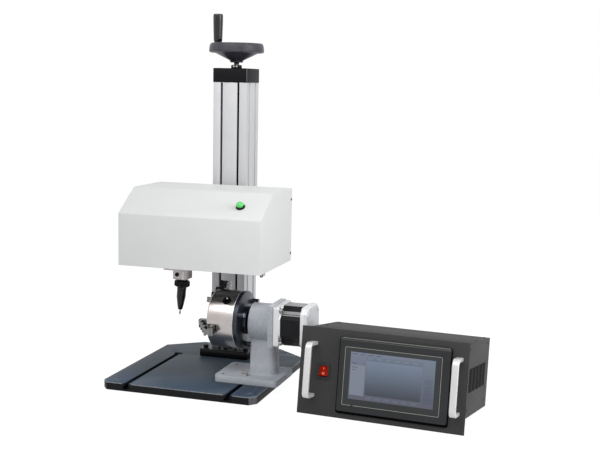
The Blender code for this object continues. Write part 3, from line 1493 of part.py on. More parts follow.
def pedestal_mesh():
    """The pillar under the housing: a rounded section that flares into the base."""
    low = BRACKET_TOP - SINK
    high = AXIS_Z
    half = PEDESTAL_THICK / 2
    rings = []
    for rise, flare in FLARES:
        height = high if rise == 1.0 else low + SINK + rise
        if rise == 0.0:
            height = low
        radii = (
            PEDESTAL_LEFT_ROUND + flare,
            PEDESTAL_ROUND + flare,
            PEDESTAL_ROUND + flare,
            PEDESTAL_LEFT_ROUND + flare,
        )
        outline = rounded_outline(
            HOUSING_LEFT - flare,
            AXIS_Y - half - flare,
            PEDESTAL_RIGHT + flare,
            AXIS_Y + half + flare,
            radii,
        )
        rings.append([(x, y, height) for x, y in outline])

    def fill(work):
        loops = [[work.verts.new(point) for point in ring] for ring in rings]
        work.faces.new(list(reversed(loops[0])))
        work.faces.new(loops[-1])
        for below, above in zip(loops, loops[1:]):
            for i in range(len(below)):
                j = (i + 1) % len(below)
                work.faces.new((below[i], below[j], above[j], above[i]))

    return mesh_from(fill, "pedestal")


def rotary_bracket(group):
    """The painted casting: base with its clamp holes, pedestal, round housing and motor pad."""
    outline = rounded_outline(BRACKET_LEFT, BRACKET_FRONT, BRACKET_RIGHT, BRACKET_BACK, (BRACKET_CORNER,) * 4)
    holes = []
    for x, y, radius in (
        (SLOT_X, BRACKET_BOLT_FRONT, BRACKET_BOLT_HOLE),
        (SLOT_X, BRACKET_BOLT_BACK, BRACKET_BOLT_HOLE),
        (DOWEL_X, BRACKET_FRONT + DOWEL_INSET, DOWEL_HOLE),
        (DOWEL_X, BRACKET_BACK - DOWEL_INSET, DOWEL_HOLE),
    ):
        around = [math.radians(360 * step / SMALL_ROUND) for step in range(SMALL_ROUND)]
        holes.append([(x + radius * math.cos(a), y + radius * math.sin(a)) for a in around])
    place = Matrix.Translation((0, 0, BRACKET_LOW + BRACKET_BASE_THICK / 2))
    mesh = outline_mesh("rotary_bracket", [outline] + holes, BRACKET_BASE_THICK)
    bracket = add_object("rotary_bracket", mesh, "casting_paint", group, place)
    back = place.inverted()
    join(bracket, "pedestal", pedestal_mesh(), back)
    housing = rod_mesh(
        "housing",
        HOUSING_RADIUS,
        (HOUSING_LEFT, AXIS_Y, AXIS_Z),
        (MOTOR_PAD_LEFT + SINK, AXIS_Y, AXIS_Z),
        WIDE_ROUND,
    )
    join(bracket, "housing", housing, back)
    half = MOTOR_PAD_SIDE / 2
    pad = block_mesh(
        "pad",
        (MOTOR_PAD_LEFT, AXIS_Y - half, AXIS_Z - half),
        (MOTOR_PAD_RIGHT, AXIS_Y + half, AXIS_Z + half),
    )
    join(bracket, "motor_pad", pad, back)
    bore = rod_mesh(
        "bore",
        HOUSING_BORE,
        (HOUSING_LEFT - OVERCUT, AXIS_Y, AXIS_Z),
        (MOTOR_PAD_RIGHT + OVERCUT, AXIS_Y, AXIS_Z),
    )
    cut(bracket, "housing_bore", bore, back)

    race = [
        (SPINDLE_RADIUS + RUN, BEARING_WIDTH),
        (HOUSING_BORE - FIT, BEARING_WIDTH),
        (HOUSING_BORE - FIT, 0),
        (SPINDLE_RADIUS + RUN, 0),
    ]
    seat = Matrix.Translation((BEARING_LEFT, AXIS_Y, AXIS_Z)) @ ALONG_X
    turned("spindle_bearing", race, "bright_steel", group, seat, ring=True)


def stepped_corner_outline(half, corner, step):
    """A square whose corners are cut off with a step in the middle of each cut."""
    quarter = [
        (half, -half + corner),
        (half, half - corner),
        (half - corner / 2 + step / 2, half - corner / 2 - step / 2),
        (half - corner / 2 - step / 2, half - corner / 2 - step / 2),
        (half - corner / 2 - step / 2, half - corner / 2 + step / 2),
    ]
    points = []
    for turn in range(4):
        about = Matrix.Rotation(math.radians(90 * turn), 2)
        for x, y in quarter[1:] + [(half - corner, half)]:
            points.append(tuple(about @ Vector((x, y))))
    return points


def rotary_motor(group):
    """The stepping motor: front bell, laminated stator with stepped corners, rear bell with cover."""
    half = MOTOR_SIDE / 2

    def place(start, length):
        return Matrix.Translation((start + length / 2, AXIS_Y, AXIS_Z)) @ ALONG_X

    flange = cut_corner_outline(-half, -half, half, half, FLANGE_CORNER)
    front = add_object(
        "motor_front_bell",
        outline_mesh("motor_front_bell", [flange], FLANGE_THICK),
        "cast_aluminium",
        group,
        place(MOTOR_FRONT, FLANGE_THICK),
    )
    inner = cut_corner_outline(-half, -half, half, half, STATOR_CORNER)
    neck = outline_mesh("bell", [inner], FRONT_BELL - FLANGE_THICK + SINK)
    join(front, "bell", neck, Matrix.Translation((0, 0, (FRONT_BELL - SINK) / 2)))
    bore = rod_mesh("bore", DRIVE_SHAFT_RADIUS + RUN, (0, 0, -FRONT_BELL), (0, 0, FRONT_BELL), SMALL_ROUND)
    cut(front, "shaft_bore", bore)
    section = stepped_corner_outline(half, STATOR_CORNER, STATOR_STEP)
    stator = outline_mesh("motor_stator", [section], STATOR_LENGTH)
    add_object("motor_stator", stator, "lamination", group, place(STATOR_FRONT, STATOR_LENGTH))
    bell = cut_corner_outline(-half, -half, half, half, BELL_CORNER)
    rear = add_object(
        "motor_rear_bell",
        outline_mesh("motor_rear_bell", [bell], REAR_BELL),
        "cast_aluminium",
        group,
        place(REAR_FRONT, REAR_BELL),
    )
    cover_half = REAR_COVER_SIDE / 2
    cover = cut_corner_outline(-cover_half, -cover_half, cover_half, cover_half, REAR_COVER_CORNER)
    lid = outline_mesh("cover", [cover], REAR_COVER_DEPTH + SINK)
    join(rear, "rear_cover", lid, Matrix.Translation((0, 0, (REAR_BELL + REAR_COVER_DEPTH - SINK) / 2)))


def control_case(group):
    """Front panel, folded tray with the rear wall, and the lid with louvre slots in its sides."""
    depth = PANEL_THICK
    upright = Matrix.Translation((0, depth / 2, 0)) @ Matrix.Rotation(math.radians(90), 4, "X")
    outside = rounded_outline(0, 0, PANEL_WIDTH, PANEL_HEIGHT, (0, 0, 0, 0))
    body_inset = HMI_BODY_INSET - FIT
    screen_hole = rounded_outline(
        HMI_LEFT + body_inset,
        HMI_BODY_LOW - FIT,
        HMI_RIGHT - body_inset,
        HMI_HIGH - body_inset,
        (0, 0, 0, 0),
    )
    half_width = SWITCH_BODY_WIDTH / 2 + FIT
    half_height = SWITCH_BODY_HEIGHT / 2 + FIT
    switch_hole = rounded_outline(
        SWITCH_X - half_width,
        SWITCH_Z - half_height,
        SWITCH_X + half_width,
        SWITCH_Z + half_height,
        (0, 0, 0, 0),
    )
    panel = outline_mesh("control_panel", [outside, screen_hole, switch_hole], depth)
    add_object("control_panel", panel, "box_paint", group, upright)

    inner = CASE_SHEET + FIT
    tray = [
        (CASE_FRONT, CASE_LIP),
        (CASE_BACK, CASE_LIP),
        (CASE_BACK, CASE_HIGH - inner),
        (CASE_BACK - CASE_SHEET, CASE_HIGH - inner),
        (CASE_BACK - CASE_SHEET, CASE_LIP + CASE_SHEET),
        (CASE_FRONT, CASE_LIP + CASE_SHEET),
    ]
    width = CASE_RIGHT - CASE_LEFT - inner * 2
    side_on = Matrix.Translation(((CASE_LEFT + CASE_RIGHT) / 2, 0, 0)) @ SIDE_ON
    mesh = outline_mesh("control_tray", [tray], width)
    tray_body = add_object("control_tray", mesh, "box_paint", group, side_on)
    for name, x, z, hole_width, hole_height in (
        ("inlet_hole", INLET_X, INLET_Z, INLET_POCKET_WIDTH + SHEET * 2, INLET_POCKET_HEIGHT + SHEET * 2),
        ("port_hole", PORT_PLATE_X - PORT_PITCH / 2, PORT_Z, PORT_BORE * 2, PORT_BORE * 2),
        ("port_hole", PORT_PLATE_X + PORT_PITCH / 2, PORT_Z, PORT_BORE * 2, PORT_BORE * 2),
    ):
        hole = block_mesh(
            "hole",
            (x - hole_width / 2 - FIT, CASE_BACK - CASE_SHEET - OVERCUT, z - hole_height / 2 - FIT),
            (x + hole_width / 2 + FIT, CASE_BACK + OVERCUT, z + hole_height / 2 + FIT),
        )
        cut(tray_body, name, hole, side_on.inverted())

    lid = [
        (CASE_LEFT, CASE_LIP),
        (CASE_LEFT, CASE_HIGH),
        (CASE_RIGHT, CASE_HIGH),
        (CASE_RIGHT, CASE_LIP),
        (CASE_RIGHT - CASE_SHEET, CASE_LIP),
        (CASE_RIGHT - CASE_SHEET, CASE_HIGH - CASE_SHEET),
        (CASE_LEFT + CASE_SHEET, CASE_HIGH - CASE_SHEET),
        (CASE_LEFT + CASE_SHEET, CASE_LIP),
    ]
    length = CASE_BACK - CASE_FRONT
    middle = Matrix.Translation((0, CASE_FRONT + length / 2, 0))
    lengthwise = middle @ Matrix.Rotation(math.radians(90), 4, "X")
    mesh = outline_mesh("control_lid", [lid], length)
    lid_body = add_object("control_lid", mesh, "box_paint", group, lengthwise)
    for number in range(VENT_COUNT):
        front = CASE_FRONT + VENT_FIRST + (VENT_WIDTH + VENT_BAR) * number
        slot = block_mesh(
            "vent",
            (CASE_LEFT - OVERCUT, front, VENT_LOW),
            (CASE_RIGHT + OVERCUT, front + VENT_WIDTH, VENT_HIGH),
        )
        cut(lid_body, "vent", slot, lengthwise.inverted())


def control_screen(group):
    """The touch screen's raised frame with its body through the panel, and the glass set in it."""
    front = -FIT - HMI_HEIGHT
    outline = rounded_outline(HMI_LEFT, HMI_LOW, HMI_RIGHT, HMI_HIGH, (HMI_CORNER,) * 4)
    turn = Matrix.Rotation(math.radians(90), 4, "X")
    place = Matrix.Translation((0, -FIT - HMI_HEIGHT / 2, 0)) @ turn
    mesh = outline_mesh("screen_frame", [outline], HMI_HEIGHT)
    frame = add_object("screen_frame", mesh, "bezel_plastic", group, place)
    body = block_mesh(
        "body",
        (HMI_LEFT + HMI_BODY_INSET, -FIT - SINK, HMI_BODY_LOW),
        (HMI_RIGHT - HMI_BODY_INSET, HMI_BODY_DEPTH, HMI_HIGH - HMI_BODY_INSET),
    )
    join(frame, "body", body, place.inverted())
    pocket = block_mesh(
        "pocket",
        (GLASS_LEFT - FIT, front - OVERCUT, GLASS_LOW - FIT),
        (GLASS_RIGHT + FIT, front + GLASS_THICK + FIT, GLASS_HIGH + FIT),
    )
    cut(frame, "glass_pocket", pocket, place.inverted())
    glass = block_mesh(
        "screen_glass",
        (GLASS_LEFT, front, GLASS_LOW),
        (GLASS_RIGHT, front + GLASS_THICK, GLASS_HIGH),
    )
    add_object("screen_glass", glass, "screen_glass", group)


def power_switch(box, rocker):
    """The switch housing in the panel and its rocker on a cross pin's line."""
    half_width = SWITCH_WIDTH / 2
    half_height = SWITCH_HEIGHT / 2
    flange = block_mesh(
        "switch_housing",
        (SWITCH_X - half_width, -FIT - SWITCH_FLANGE, SWITCH_Z - half_height),
        (SWITCH_X + half_width, -FIT, SWITCH_Z + half_height),
    )
    housing = add_object("switch_housing", flange, "gloss_black", box)
    body = block_mesh(
        "body",
        (SWITCH_X - SWITCH_BODY_WIDTH / 2, -FIT - SINK, SWITCH_Z - SWITCH_BODY_HEIGHT / 2),
        (SWITCH_X + SWITCH_BODY_WIDTH / 2, SWITCH_BODY_DEPTH, SWITCH_Z + SWITCH_BODY_HEIGHT / 2),
    )
    join(housing, "body", body)
    wide = ROCKER_WIDTH / 2 + FIT
    tall = ROCKER_HALF + ROCKER_GAP
    well = block_mesh(
        "well",
        (SWITCH_X - wide, -FIT - SWITCH_FLANGE - OVERCUT, SWITCH_Z - tall),
        (SWITCH_X + wide, SWITCH_WELL_DEPTH, SWITCH_Z + tall),
    )
    cut(housing, "well", well)

    rise = ROCKER_HALF * math.tan(ROCKER_ANGLE)
    profile = [
        (-ROCKER_FRONT - rise, -ROCKER_HALF),
        (-ROCKER_FRONT, 0),
        (-ROCKER_FRONT - rise, ROCKER_HALF),
        (0, ROCKER_HALF),
        (ROCKER_FRONT / 2, ROCKER_HALF / 2),
        (ROCKER_FRONT, 0),
        (ROCKER_FRONT / 2, -ROCKER_HALF / 2),
        (0, -ROCKER_HALF),
    ]
    at_axis = Matrix.Translation((SWITCH_X, ROCKER_PIVOT, SWITCH_Z)) @ Matrix.Rotation(-ROCKER_ANGLE, 4, "X")
    mesh = outline_mesh("power_rocker", [profile], ROCKER_WIDTH)
    add_object("power_rocker", mesh, "rocker_red", rocker, at_axis @ SIDE_ON)


def handle_outline():
    """A bow handle's side view: a flat bar with two rounded bends, its feet on the panel."""
    points = []
    for bend, depth, direction in ((HANDLE_BEND, 0, 1), (HANDLE_BEND - HANDLE_THICK, HANDLE_THICK, -1)):
        out = -HANDLE_REACH + depth
        low = HANDLE_LOW + depth
        high = HANDLE_HIGH - depth
        side = [(-FIT, low)]
        for step in range(HANDLE_BEND_STEPS + 1):
            angle = math.radians(90 * step / HANDLE_BEND_STEPS)
            side.append((out + bend - bend * math.sin(angle), low + bend - bend * math.cos(angle)))
        for step in range(HANDLE_BEND_STEPS + 1):
            angle = math.radians(90 * step / HANDLE_BEND_STEPS)
            side.append((out + bend - bend * math.cos(angle), high - bend + bend * math.sin(angle)))
        side.append((-FIT, high))
        points += side[::direction]
    return points


def control_fittings(group):
    """Handles, mains inlet, rear ports and power supply."""
    for name, x in (("control_handle_left", HANDLE_X), ("control_handle_right", HANDLE_RIGHT_X)):
        bow = outline_mesh(name, [handle_outline()], HANDLE_WIDTH)
        handle = add_object(name, bow, "handle_silver", group, Matrix.Translation((x, 0, 0)) @ SIDE_ON)
        break_edges(handle, HANDLE_ROUND)

    rear = CASE_BACK + FIT
    inlet = add_object(
        "power_inlet",
        block_mesh(
            "power_inlet",
            (INLET_X - INLET_WIDTH / 2, rear, INLET_Z - INLET_HEIGHT / 2),
            (INLET_X + INLET_WIDTH / 2, rear + INLET_FLANGE, INLET_Z + INLET_HEIGHT / 2),
        ),
        "gloss_black",
        group,
    )
    half_width = INLET_POCKET_WIDTH / 2 + SHEET
    half_height = INLET_POCKET_HEIGHT / 2 + SHEET
    well = block_mesh(
        "well",
        (INLET_X - half_width, rear - INLET_DEPTH, INLET_Z - half_height),
        (INLET_X + half_width, rear + SINK, INLET_Z + half_height),
    )
    join(inlet, "well", well)
    pocket = block_mesh(
        "pocket",
        (INLET_X - INLET_POCKET_WIDTH / 2, rear - INLET_POCKET_DEPTH, INLET_Z - INLET_POCKET_HEIGHT / 2),
        (INLET_X + INLET_POCKET_WIDTH / 2, rear + INLET_FLANGE + OVERCUT, INLET_Z + INLET_POCKET_HEIGHT / 2),
    )
    cut(inlet, "pocket", pocket)

    ports = add_object(
        "rear_ports",
        block_mesh(
            "rear_ports",
            (PORT_PLATE_X - PORT_PLATE_WIDTH / 2, rear, PORT_Z - PORT_PLATE_HEIGHT / 2),
            (PORT_PLATE_X + PORT_PLATE_WIDTH / 2, rear + PORT_PLATE_THICK, PORT_Z + PORT_PLATE_HEIGHT / 2),
        ),
        "cast_aluminium",
        group,
    )
    for side in (-1, 1):
        x = PORT_PLATE_X + side * PORT_PITCH / 2
        shell = rod_mesh(
            "shell",
            PORT_RADIUS,
            (x, rear + PORT_PLATE_THICK - SINK, PORT_Z),
            (x, rear + PORT_LENGTH, PORT_Z),
            SMALL_ROUND,
        )
        mouth = rod_mesh(
            "mouth",
            PORT_BORE,
            (x, rear + PORT_PLATE_THICK, PORT_Z),
            (x, rear + PORT_LENGTH + OVERCUT, PORT_Z),
            SMALL_ROUND,
        )
        join(ports, "shell", shell)
        cut(ports, "mouth", mouth)

    floor = CASE_LIP + CASE_SHEET + FIT
    supply = block_mesh(
        "power_supply",
        (SUPPLY_LEFT, SUPPLY_FRONT, floor),
        (SUPPLY_LEFT + SUPPLY_WIDTH, CASE_BACK - SUPPLY_REAR_GAP, floor + SUPPLY_HEIGHT),
    )
    add_object("power_supply", supply, "cast_aluminium", group)


def build():
    root = Group("machine", (0, 0, 0))
    wheel = Group("handwheel_turn", (0, 0, WHEEL_LOW), root)
    grip = Group("grip_spin", GRIP_PLACE, wheel)
    head = Group("head_lift", (0, HEAD_BACK, HEAD_LOW), root)
    button = Group("start_button_press", BUTTON_PLACE, head)
    y_screw_axis = Group("y_screw_turn", (Y_DRIVE_X, Y_SCREW_START, Y_DRIVE_Z), head)
    bridge = Group("y_travel", (0, BEAM_FRONT, BEAM_LOW), head)
    x_screw_axis = Group("x_screw_turn", (X_MOTOR_LEFT, X_DRIVE_Y, X_DRIVE_Z), bridge)
    slide = Group("x_travel", (SLIDE_LEFT, BEAM_FRONT, SLIDE_LOW), bridge)
    strike = Group("needle_strike", STYLUS_TIP, slide)
    chuck = Group("chuck_spin", (CHUCK_FACE, AXIS_Y, AXIS_Z), root)
    scroll = Group("scroll_turn", (CHUCK_FACE, AXIS_Y, AXIS_Z), chuck)
    pinions = [Group("pinion_" + str(n + 1), (CHUCK_FACE, AXIS_Y, AXIS_Z), chuck) for n in range(3)]
    jaws = [Group("jaw_" + str(n + 1), (CHUCK_FACE, AXIS_Y, AXIS_Z), chuck) for n in range(3)]
    box = Group("control_box", (0, 0, 0), root, BOX_SPACE)
    rocker = Group("power_rocker", (SWITCH_X, ROCKER_PIVOT, SWITCH_Z), box, BOX_SPACE)

    base_plate(root)
    column(root)
    lifting_screw(wheel, grip)
    lift_carriage(head)
    head_cover(head)
    head_frame(head)
    y_drive(head, y_screw_axis)
    y_bridge(bridge, x_screw_axis)
    x_slide(slide)
    needle(strike)
    start_button(head, button)
    air_fitting(head)
    chuck_body(chuck)
    chuck_inner(scroll, pinions, jaws)
    chuck_drive(chuck)
    rotary_bracket(root)
    rotary_motor(root)
    control_case(box)
    control_screen(box)
    power_switch(box, rocker)
    control_fittings(box)


build()
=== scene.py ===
"""Looks of the marking machine: camera, light, finishes, screws, screen and other small detail."""

import math

import bmesh
import bpy
from mathutils import Matrix, Vector


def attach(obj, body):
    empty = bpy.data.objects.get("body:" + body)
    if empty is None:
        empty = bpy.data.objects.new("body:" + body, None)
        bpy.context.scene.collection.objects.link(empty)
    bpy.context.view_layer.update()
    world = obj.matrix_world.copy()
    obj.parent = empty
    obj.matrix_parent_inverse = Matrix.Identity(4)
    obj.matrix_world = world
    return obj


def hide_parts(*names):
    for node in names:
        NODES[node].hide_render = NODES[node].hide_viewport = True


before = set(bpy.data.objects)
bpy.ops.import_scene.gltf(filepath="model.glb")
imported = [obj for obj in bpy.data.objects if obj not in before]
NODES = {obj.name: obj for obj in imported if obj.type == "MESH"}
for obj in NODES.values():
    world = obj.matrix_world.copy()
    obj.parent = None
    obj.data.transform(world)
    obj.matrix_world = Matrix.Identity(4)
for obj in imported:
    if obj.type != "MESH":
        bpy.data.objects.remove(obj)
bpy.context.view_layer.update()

# The camera that was fitted to the photograph
IMAGE_WIDTH = 600
FOCAL_PIXELS = 1046.004
SENSOR = 36
CAMERA_PLACE = (0.85811, -2.26781, 0.64744)
YAW, PITCH, ROLL = map(math.radians, (17.1257, 7.6427, 1.1062))

# Sizes repeated from the model, in metres, some of them 0.1 mm off so that faces don't coincide
PLATE_TOP = 0.017
SLOT_X = 0.114
SLOT_HALF = 0.0100
FOOT_TOP = 0.0351
CAP_TOP = 0.6812
CAP_HALF = 0.041
WHEEL_LOW = 0.6948
GRIP_CIRCLE, GRIP_ANGLE = 0.0427, 200.7
HEAD_SIDE = 0.1609
HEAD_REAR = -0.0691
SOCKET_Z = 0.300
BRACKET_TOP = 0.0313
CLAMP_Y = (-0.229, -0.153)
MOTOR_FLANGE, MOTOR_REAR = 0.1888, 0.2531
AXIS_Y, AXIS_Z = -0.193, 0.143
CHUCK_FACE = 0.0345
CASE_LIP, CASE_DEPTH, PANEL_THICK = 0.0297, 0.2, 0.003
LID_LEFT, LID_RIGHT, LID_REAR, LID_TOP = 0.0020, 0.3357, 0.2030, 0.1699
FRAME_FRONT = -0.0068
LOUVRE_START, LOUVRE_PITCH = 0.0183, 0.032
LOUVRE_LOW, LOUVRE_HIGH = 0.0764, 0.1236
INLET_X, PORT_X, REAR_Z = 0.045, 0.215, 0.062
CHUCK_SPACE = Matrix.Translation((CHUCK_FACE, AXIS_Y, AXIS_Z))
TILT = math.atan2(CASE_LIP, CASE_DEPTH)
BOX_SPACE = (
    Matrix.Translation((0.2647, -0.3412, PANEL_THICK * math.sin(TILT)))
    @ Matrix.Rotation(math.radians(-4.35), 4, "Z")
    @ Matrix.Rotation(-TILT, 4, "X")
)
FRAME_TOP = (BOX_SPACE @ Vector((0, FRAME_FRONT, 0.1600))).z
STYLUS_SPACE = Matrix.Translation((-0.0538, -0.193, 0.1417)) @ Matrix.Rotation(math.radians(4.5), 4, "Y")
UP_X = Matrix.Rotation(math.radians(90), 4, "Y")
DOWN_X = Matrix.Rotation(math.radians(-90), 4, "Y")
UP_Y = Matrix.Rotation(math.radians(-90), 4, "X")
DOWN_Y = Matrix.Rotation(math.radians(90), 4, "X")


# Camera, lamps, floor


def make_camera():
    forward = Vector((-math.sin(YAW) * math.cos(PITCH), math.cos(YAW) * math.cos(PITCH), -math.sin(PITCH)))
    right = Vector((math.cos(YAW), math.sin(YAW), 0))
    up = right.cross(forward)
    across = right * math.cos(ROLL) + up * math.sin(ROLL)
    above = up * math.cos(ROLL) - right * math.sin(ROLL)
    data = bpy.data.cameras.new("camera")
    data.sensor_width = SENSOR
    data.lens = SENSOR * FOCAL_PIXELS / IMAGE_WIDTH
    data.clip_end = 40
    camera = bpy.data.objects.new("camera", data)
    turn = Matrix((across, above, -forward)).transposed().to_4x4()
    camera.matrix_world = Matrix.Translation(CAMERA_PLACE) @ turn
    bpy.context.scene.collection.objects.link(camera)
    bpy.context.scene.camera = camera


def coloured(tree, kind, colour, strength=None):
    """A shader node of one colour, and of one strength where it has that socket."""
    node = tree.add(kind)
    node.inputs["Color"].default_value = (*colour, 1)
    if strength is not None:
        node.inputs["Strength"].default_value = strength
    return node.outputs[0]


def backdrop_mix(tree, seen, white, lit, out_socket):
    """Camera, glossy and transmission rays see plain white, the others the lit surface."""
    path = tree.add("ShaderNodeLightPath").outputs
    rays = tree.math("MAXIMUM", path["Is Camera Ray"], path["Is Glossy Ray"])
    rays = tree.math("MAXIMUM", rays, path["Is Transmission Ray"])
    mix = tree.add("ShaderNodeMixShader")
    for value, socket in zip((tree.math("MULTIPLY", rays, seen), lit, white), mix.inputs):
        tree.feed(socket, value)
    tree.feed(out_socket, mix.outputs[0])


def make_stage():
    """A soft, plain world and a pale floor that keeps the object's shadow."""
    world = bpy.data.worlds.new("world")
    bpy.context.scene.world = world
    tree = Tree(world)
    tree.nodes.clear()
    out = tree.add("ShaderNodeOutputWorld")
    lit = coloured(tree, "ShaderNodeBackground", (0.96, 0.98, 1.0), 0.32)
    white = coloured(tree, "ShaderNodeBackground", (1, 1, 1), 1.0)
    backdrop_mix(tree, 1.0, white, lit, out.inputs["Surface"])

    mesh = bpy.data.meshes.new("floor")
    work = bmesh.new()
    bmesh.ops.create_grid(work, x_segments=8, y_segments=8, size=9)
    work.to_mesh(mesh)
    work.free()
    floor = bpy.data.objects.new("floor", mesh)
    floor.location = (0.2, 0, -0.0012)
    bpy.context.scene.collection.objects.link(floor)
    tree = Tree(bpy.data.materials.new("floor"))
    tree.nodes.clear()
    out = tree.add("ShaderNodeOutputMaterial")
    lit = coloured(tree, "ShaderNodeBsdfDiffuse", (0.62, 0.62, 0.62))
    white = coloured(tree, "ShaderNodeEmission", (1, 1, 1), 1.28)
    backdrop_mix(tree, 0.75, white, lit, out.inputs["Surface"])
    mesh.materials.append(tree.owner)


def area_lamp(name, place, target, size, power):
    data = bpy.data.lights.new(name, "AREA")
    data.shape = "RECTANGLE"
    data.size, data.size_y = size
    data.energy = power
    lamp = bpy.data.objects.new(name, data)
    way = Vector(target) - Vector(place)
    lamp.matrix_world = Matrix.Translation(place) @ way.to_track_quat("-Z", "Y").to_matrix().to_4x4()
    bpy.context.scene.collection.objects.link(lamp)


def make_lamps():
    area_lamp("key_lamp", (-0.2, -2.15, 2.5), (0.1, -0.2, 0.3), (3.0, 1.6), 43)
    area_lamp("right_lamp", (2.45, -0.55, 1.7), (0.1, -0.2, 0.3), (1.6, 1.8), 27)
    area_lamp("edge_lamp", (2.35, -0.85, 0.95), (0.0, -0.15, 0.45), (0.16, 1.7), 11)
    area_lamp("left_lamp", (-2.2, -1.2, 1.6), (0.0, -0.1, 0.3), (1.6, 1.6), 6)


# Finishes

GLOSS = 0.06  # how far fine grain moves the roughness either way
LEAST_ROUGH = 0.02


def linear(*rgb):
    """The shader colour of a screen colour from 0 to 255."""
    out = []
    for value in rgb:
        value /= 255
        out.append(value / 12.92 if value <= 0.04045 else ((value + 0.055) / 1.055) ** 2.4)
    return (*out, 1.0)


class Tree:
    """The node tree of a material or world, with short calls to add and join nodes."""

    def __init__(self, owner):
        owner.use_nodes = True
        self.owner = owner
        self.nodes = owner.node_tree.nodes
        self.links = owner.node_tree.links
        self.shader = self.nodes.get("Principled BSDF")

    def add(self, kind, **settings):
        node = self.nodes.new(kind)
        for key, value in settings.items():
            setattr(node, key, value)
        return node

    def feed(self, socket, value):
        """Sets a number or colour on the socket itself, and joins anything else to it."""
        if isinstance(value, (int, float, tuple)):
            socket.default_value = value
        else:
            self.links.new(value, socket)

    def give(self, name, value):
        self.feed(self.shader.inputs[name], value)

    def axes(self, source="Object"):
        """X, Y and Z of the object's own coordinates or normals."""
        split = self.add("ShaderNodeSeparateXYZ")
        self.feed(split.inputs[0], self.add("ShaderNodeTexCoord").outputs[source])
        return split.outputs

    def place(self, stretch=(1, 1, 1)):
        mapping = self.add("ShaderNodeMapping")
        mapping.inputs["Scale"].default_value = stretch
        self.feed(mapping.inputs["Vector"], self.add("ShaderNodeTexCoord").outputs["Object"])
        return mapping.outputs[0]

    def noise(self, vector, scale, detail=3.0):
        node = self.add("ShaderNodeTexNoise")
        for name, value in (("Scale", scale), ("Detail", detail), ("Roughness", 0.55), ("Vector", vector)):
            self.feed(node.inputs[name], value)
        return node.outputs[0]

    def lines(self, along, scale):
        """Noise along one direction only."""
        node = self.add("ShaderNodeTexNoise", noise_dimensions="1D")
        self.feed(node.inputs["Scale"], scale)
        self.feed(node.inputs["W"], along)
        return node.outputs[0]

    def spread(self, value, low, high, start=0.3, end=0.7):
        node = self.add("ShaderNodeMapRange")
        for number, given in enumerate((value, start, end, low, high)):
            self.feed(node.inputs[number], given)
        return node.outputs[0]

    def mix(self, share, below, above):
        node = self.add("ShaderNodeMix", data_type="RGBA")
        for number, given in ((0, share), (6, below), (7, above)):
            self.feed(node.inputs[number], given)
        return node.outputs[2]

    def math(self, operation, first, second):
        node = self.add("ShaderNodeMath", operation=operation)
        self.feed(node.inputs[0], first)
        self.feed(node.inputs[1], second)
        return node.outputs[0]

    def bands(self, bands):
        """The parts of a surface inside any band, a product of ramps over its place or direction."""
        axes = {source: self.axes(source) for source in ("Object", "Normal")}
        total = 0.0
        for strength, ramps in bands:
            share = strength
            for source, axis, start, end in ramps:
                ramp = self.spread(axes[source]["XYZ".index(axis)], 0, 1, start, end)
                share = self.math("MULTIPLY", ramp, share)
            total = self.math("MAXIMUM", share, total)
        return total

    def bump(self, value, height):
        node = self.add("ShaderNodeBump")
        node.inputs["Distance"].default_value = height
        self.feed(node.inputs["Height"], value)
        return node.outputs[0]


def shaded(colour, factor):
    """The colour darker or lighter by a factor."""
    return (*(min(1.0, c * factor) for c in colour[:3]), 1.0)


def finish(
    name,
    colour,
    roughness,
    metallic=0.0,
    stretch=(1, 1, 1),
    grain=700,
    height=0.00004,
    vary=0.06,
    patches=14,
    coat=0.0,
    level=0.5,
    marks=(),
):
    """A surface with fine grain in its bump and slow, slight changes of colour and gloss.

    marks are pairs of a colour and the bands that take it: painted highlights along edges and painted light
    on faces.
    """
    tree = Tree(bpy.data.materials.new(name))
    vector = tree.place(stretch)
    fine = tree.noise(vector, grain, 2.0)
    slow = tree.noise(tree.place(), patches, 4.0)
    shade = tree.mix(tree.spread(slow, 0, 1), shaded(colour, 1 - vary), shaded(colour, 1 + vary))
    # Each mark paints light: its lighter colour goes where its bands fall, made patchy by noise.
    for mark, bands in marks:
        painted_light = tree.math("MULTIPLY", tree.bands(bands), tree.spread(tree.noise(vector, 260), 0.6, 1.0))
        shade = tree.mix(painted_light, shade, mark)
    tree.give("Base Color", shade)
    tree.give("Roughness", tree.spread(fine, max(LEAST_ROUGH, roughness - GLOSS), roughness + GLOSS))
    tree.give("Normal", tree.bump(fine, height))
    tree.give("Metallic", metallic)
    tree.give("Coat Weight", coat)
    tree.give("Coat Roughness", 0.08)
    tree.give("Specular IOR Level", level)
    return tree.owner


def turned_finish(name, colour, roughness, metallic=1.0, vary=0.1):
    """Lathe lines round the chuck's axis: rings on its faces, hoops on its outside."""
    tree = Tree(bpy.data.materials.new(name))
    axes = tree.axes()
    squares = []
    for axis, middle in ((axes[1], AXIS_Y), (axes[2], AXIS_Z)):
        away = tree.math("SUBTRACT", axis, middle)
        squares.append(tree.math("MULTIPLY", away, away))
    radius = tree.math("SQRT", tree.math("ADD", *squares), 0.0)
    line = tree.lines(tree.math("ADD", radius, axes[0]), 2600)
    slow = tree.spread(tree.noise(tree.place(), 40), 0, 1)
    tree.give("Base Color", tree.mix(slow, shaded(colour, 1 - vary), shaded(colour, 1 + vary * 0.5)))
    tree.give("Roughness", tree.spread(line, roughness - 0.05, roughness + 0.08))
    tree.give("Normal", tree.bump(line, 0.00002))
    tree.give("Metallic", metallic)
    return tree.owner


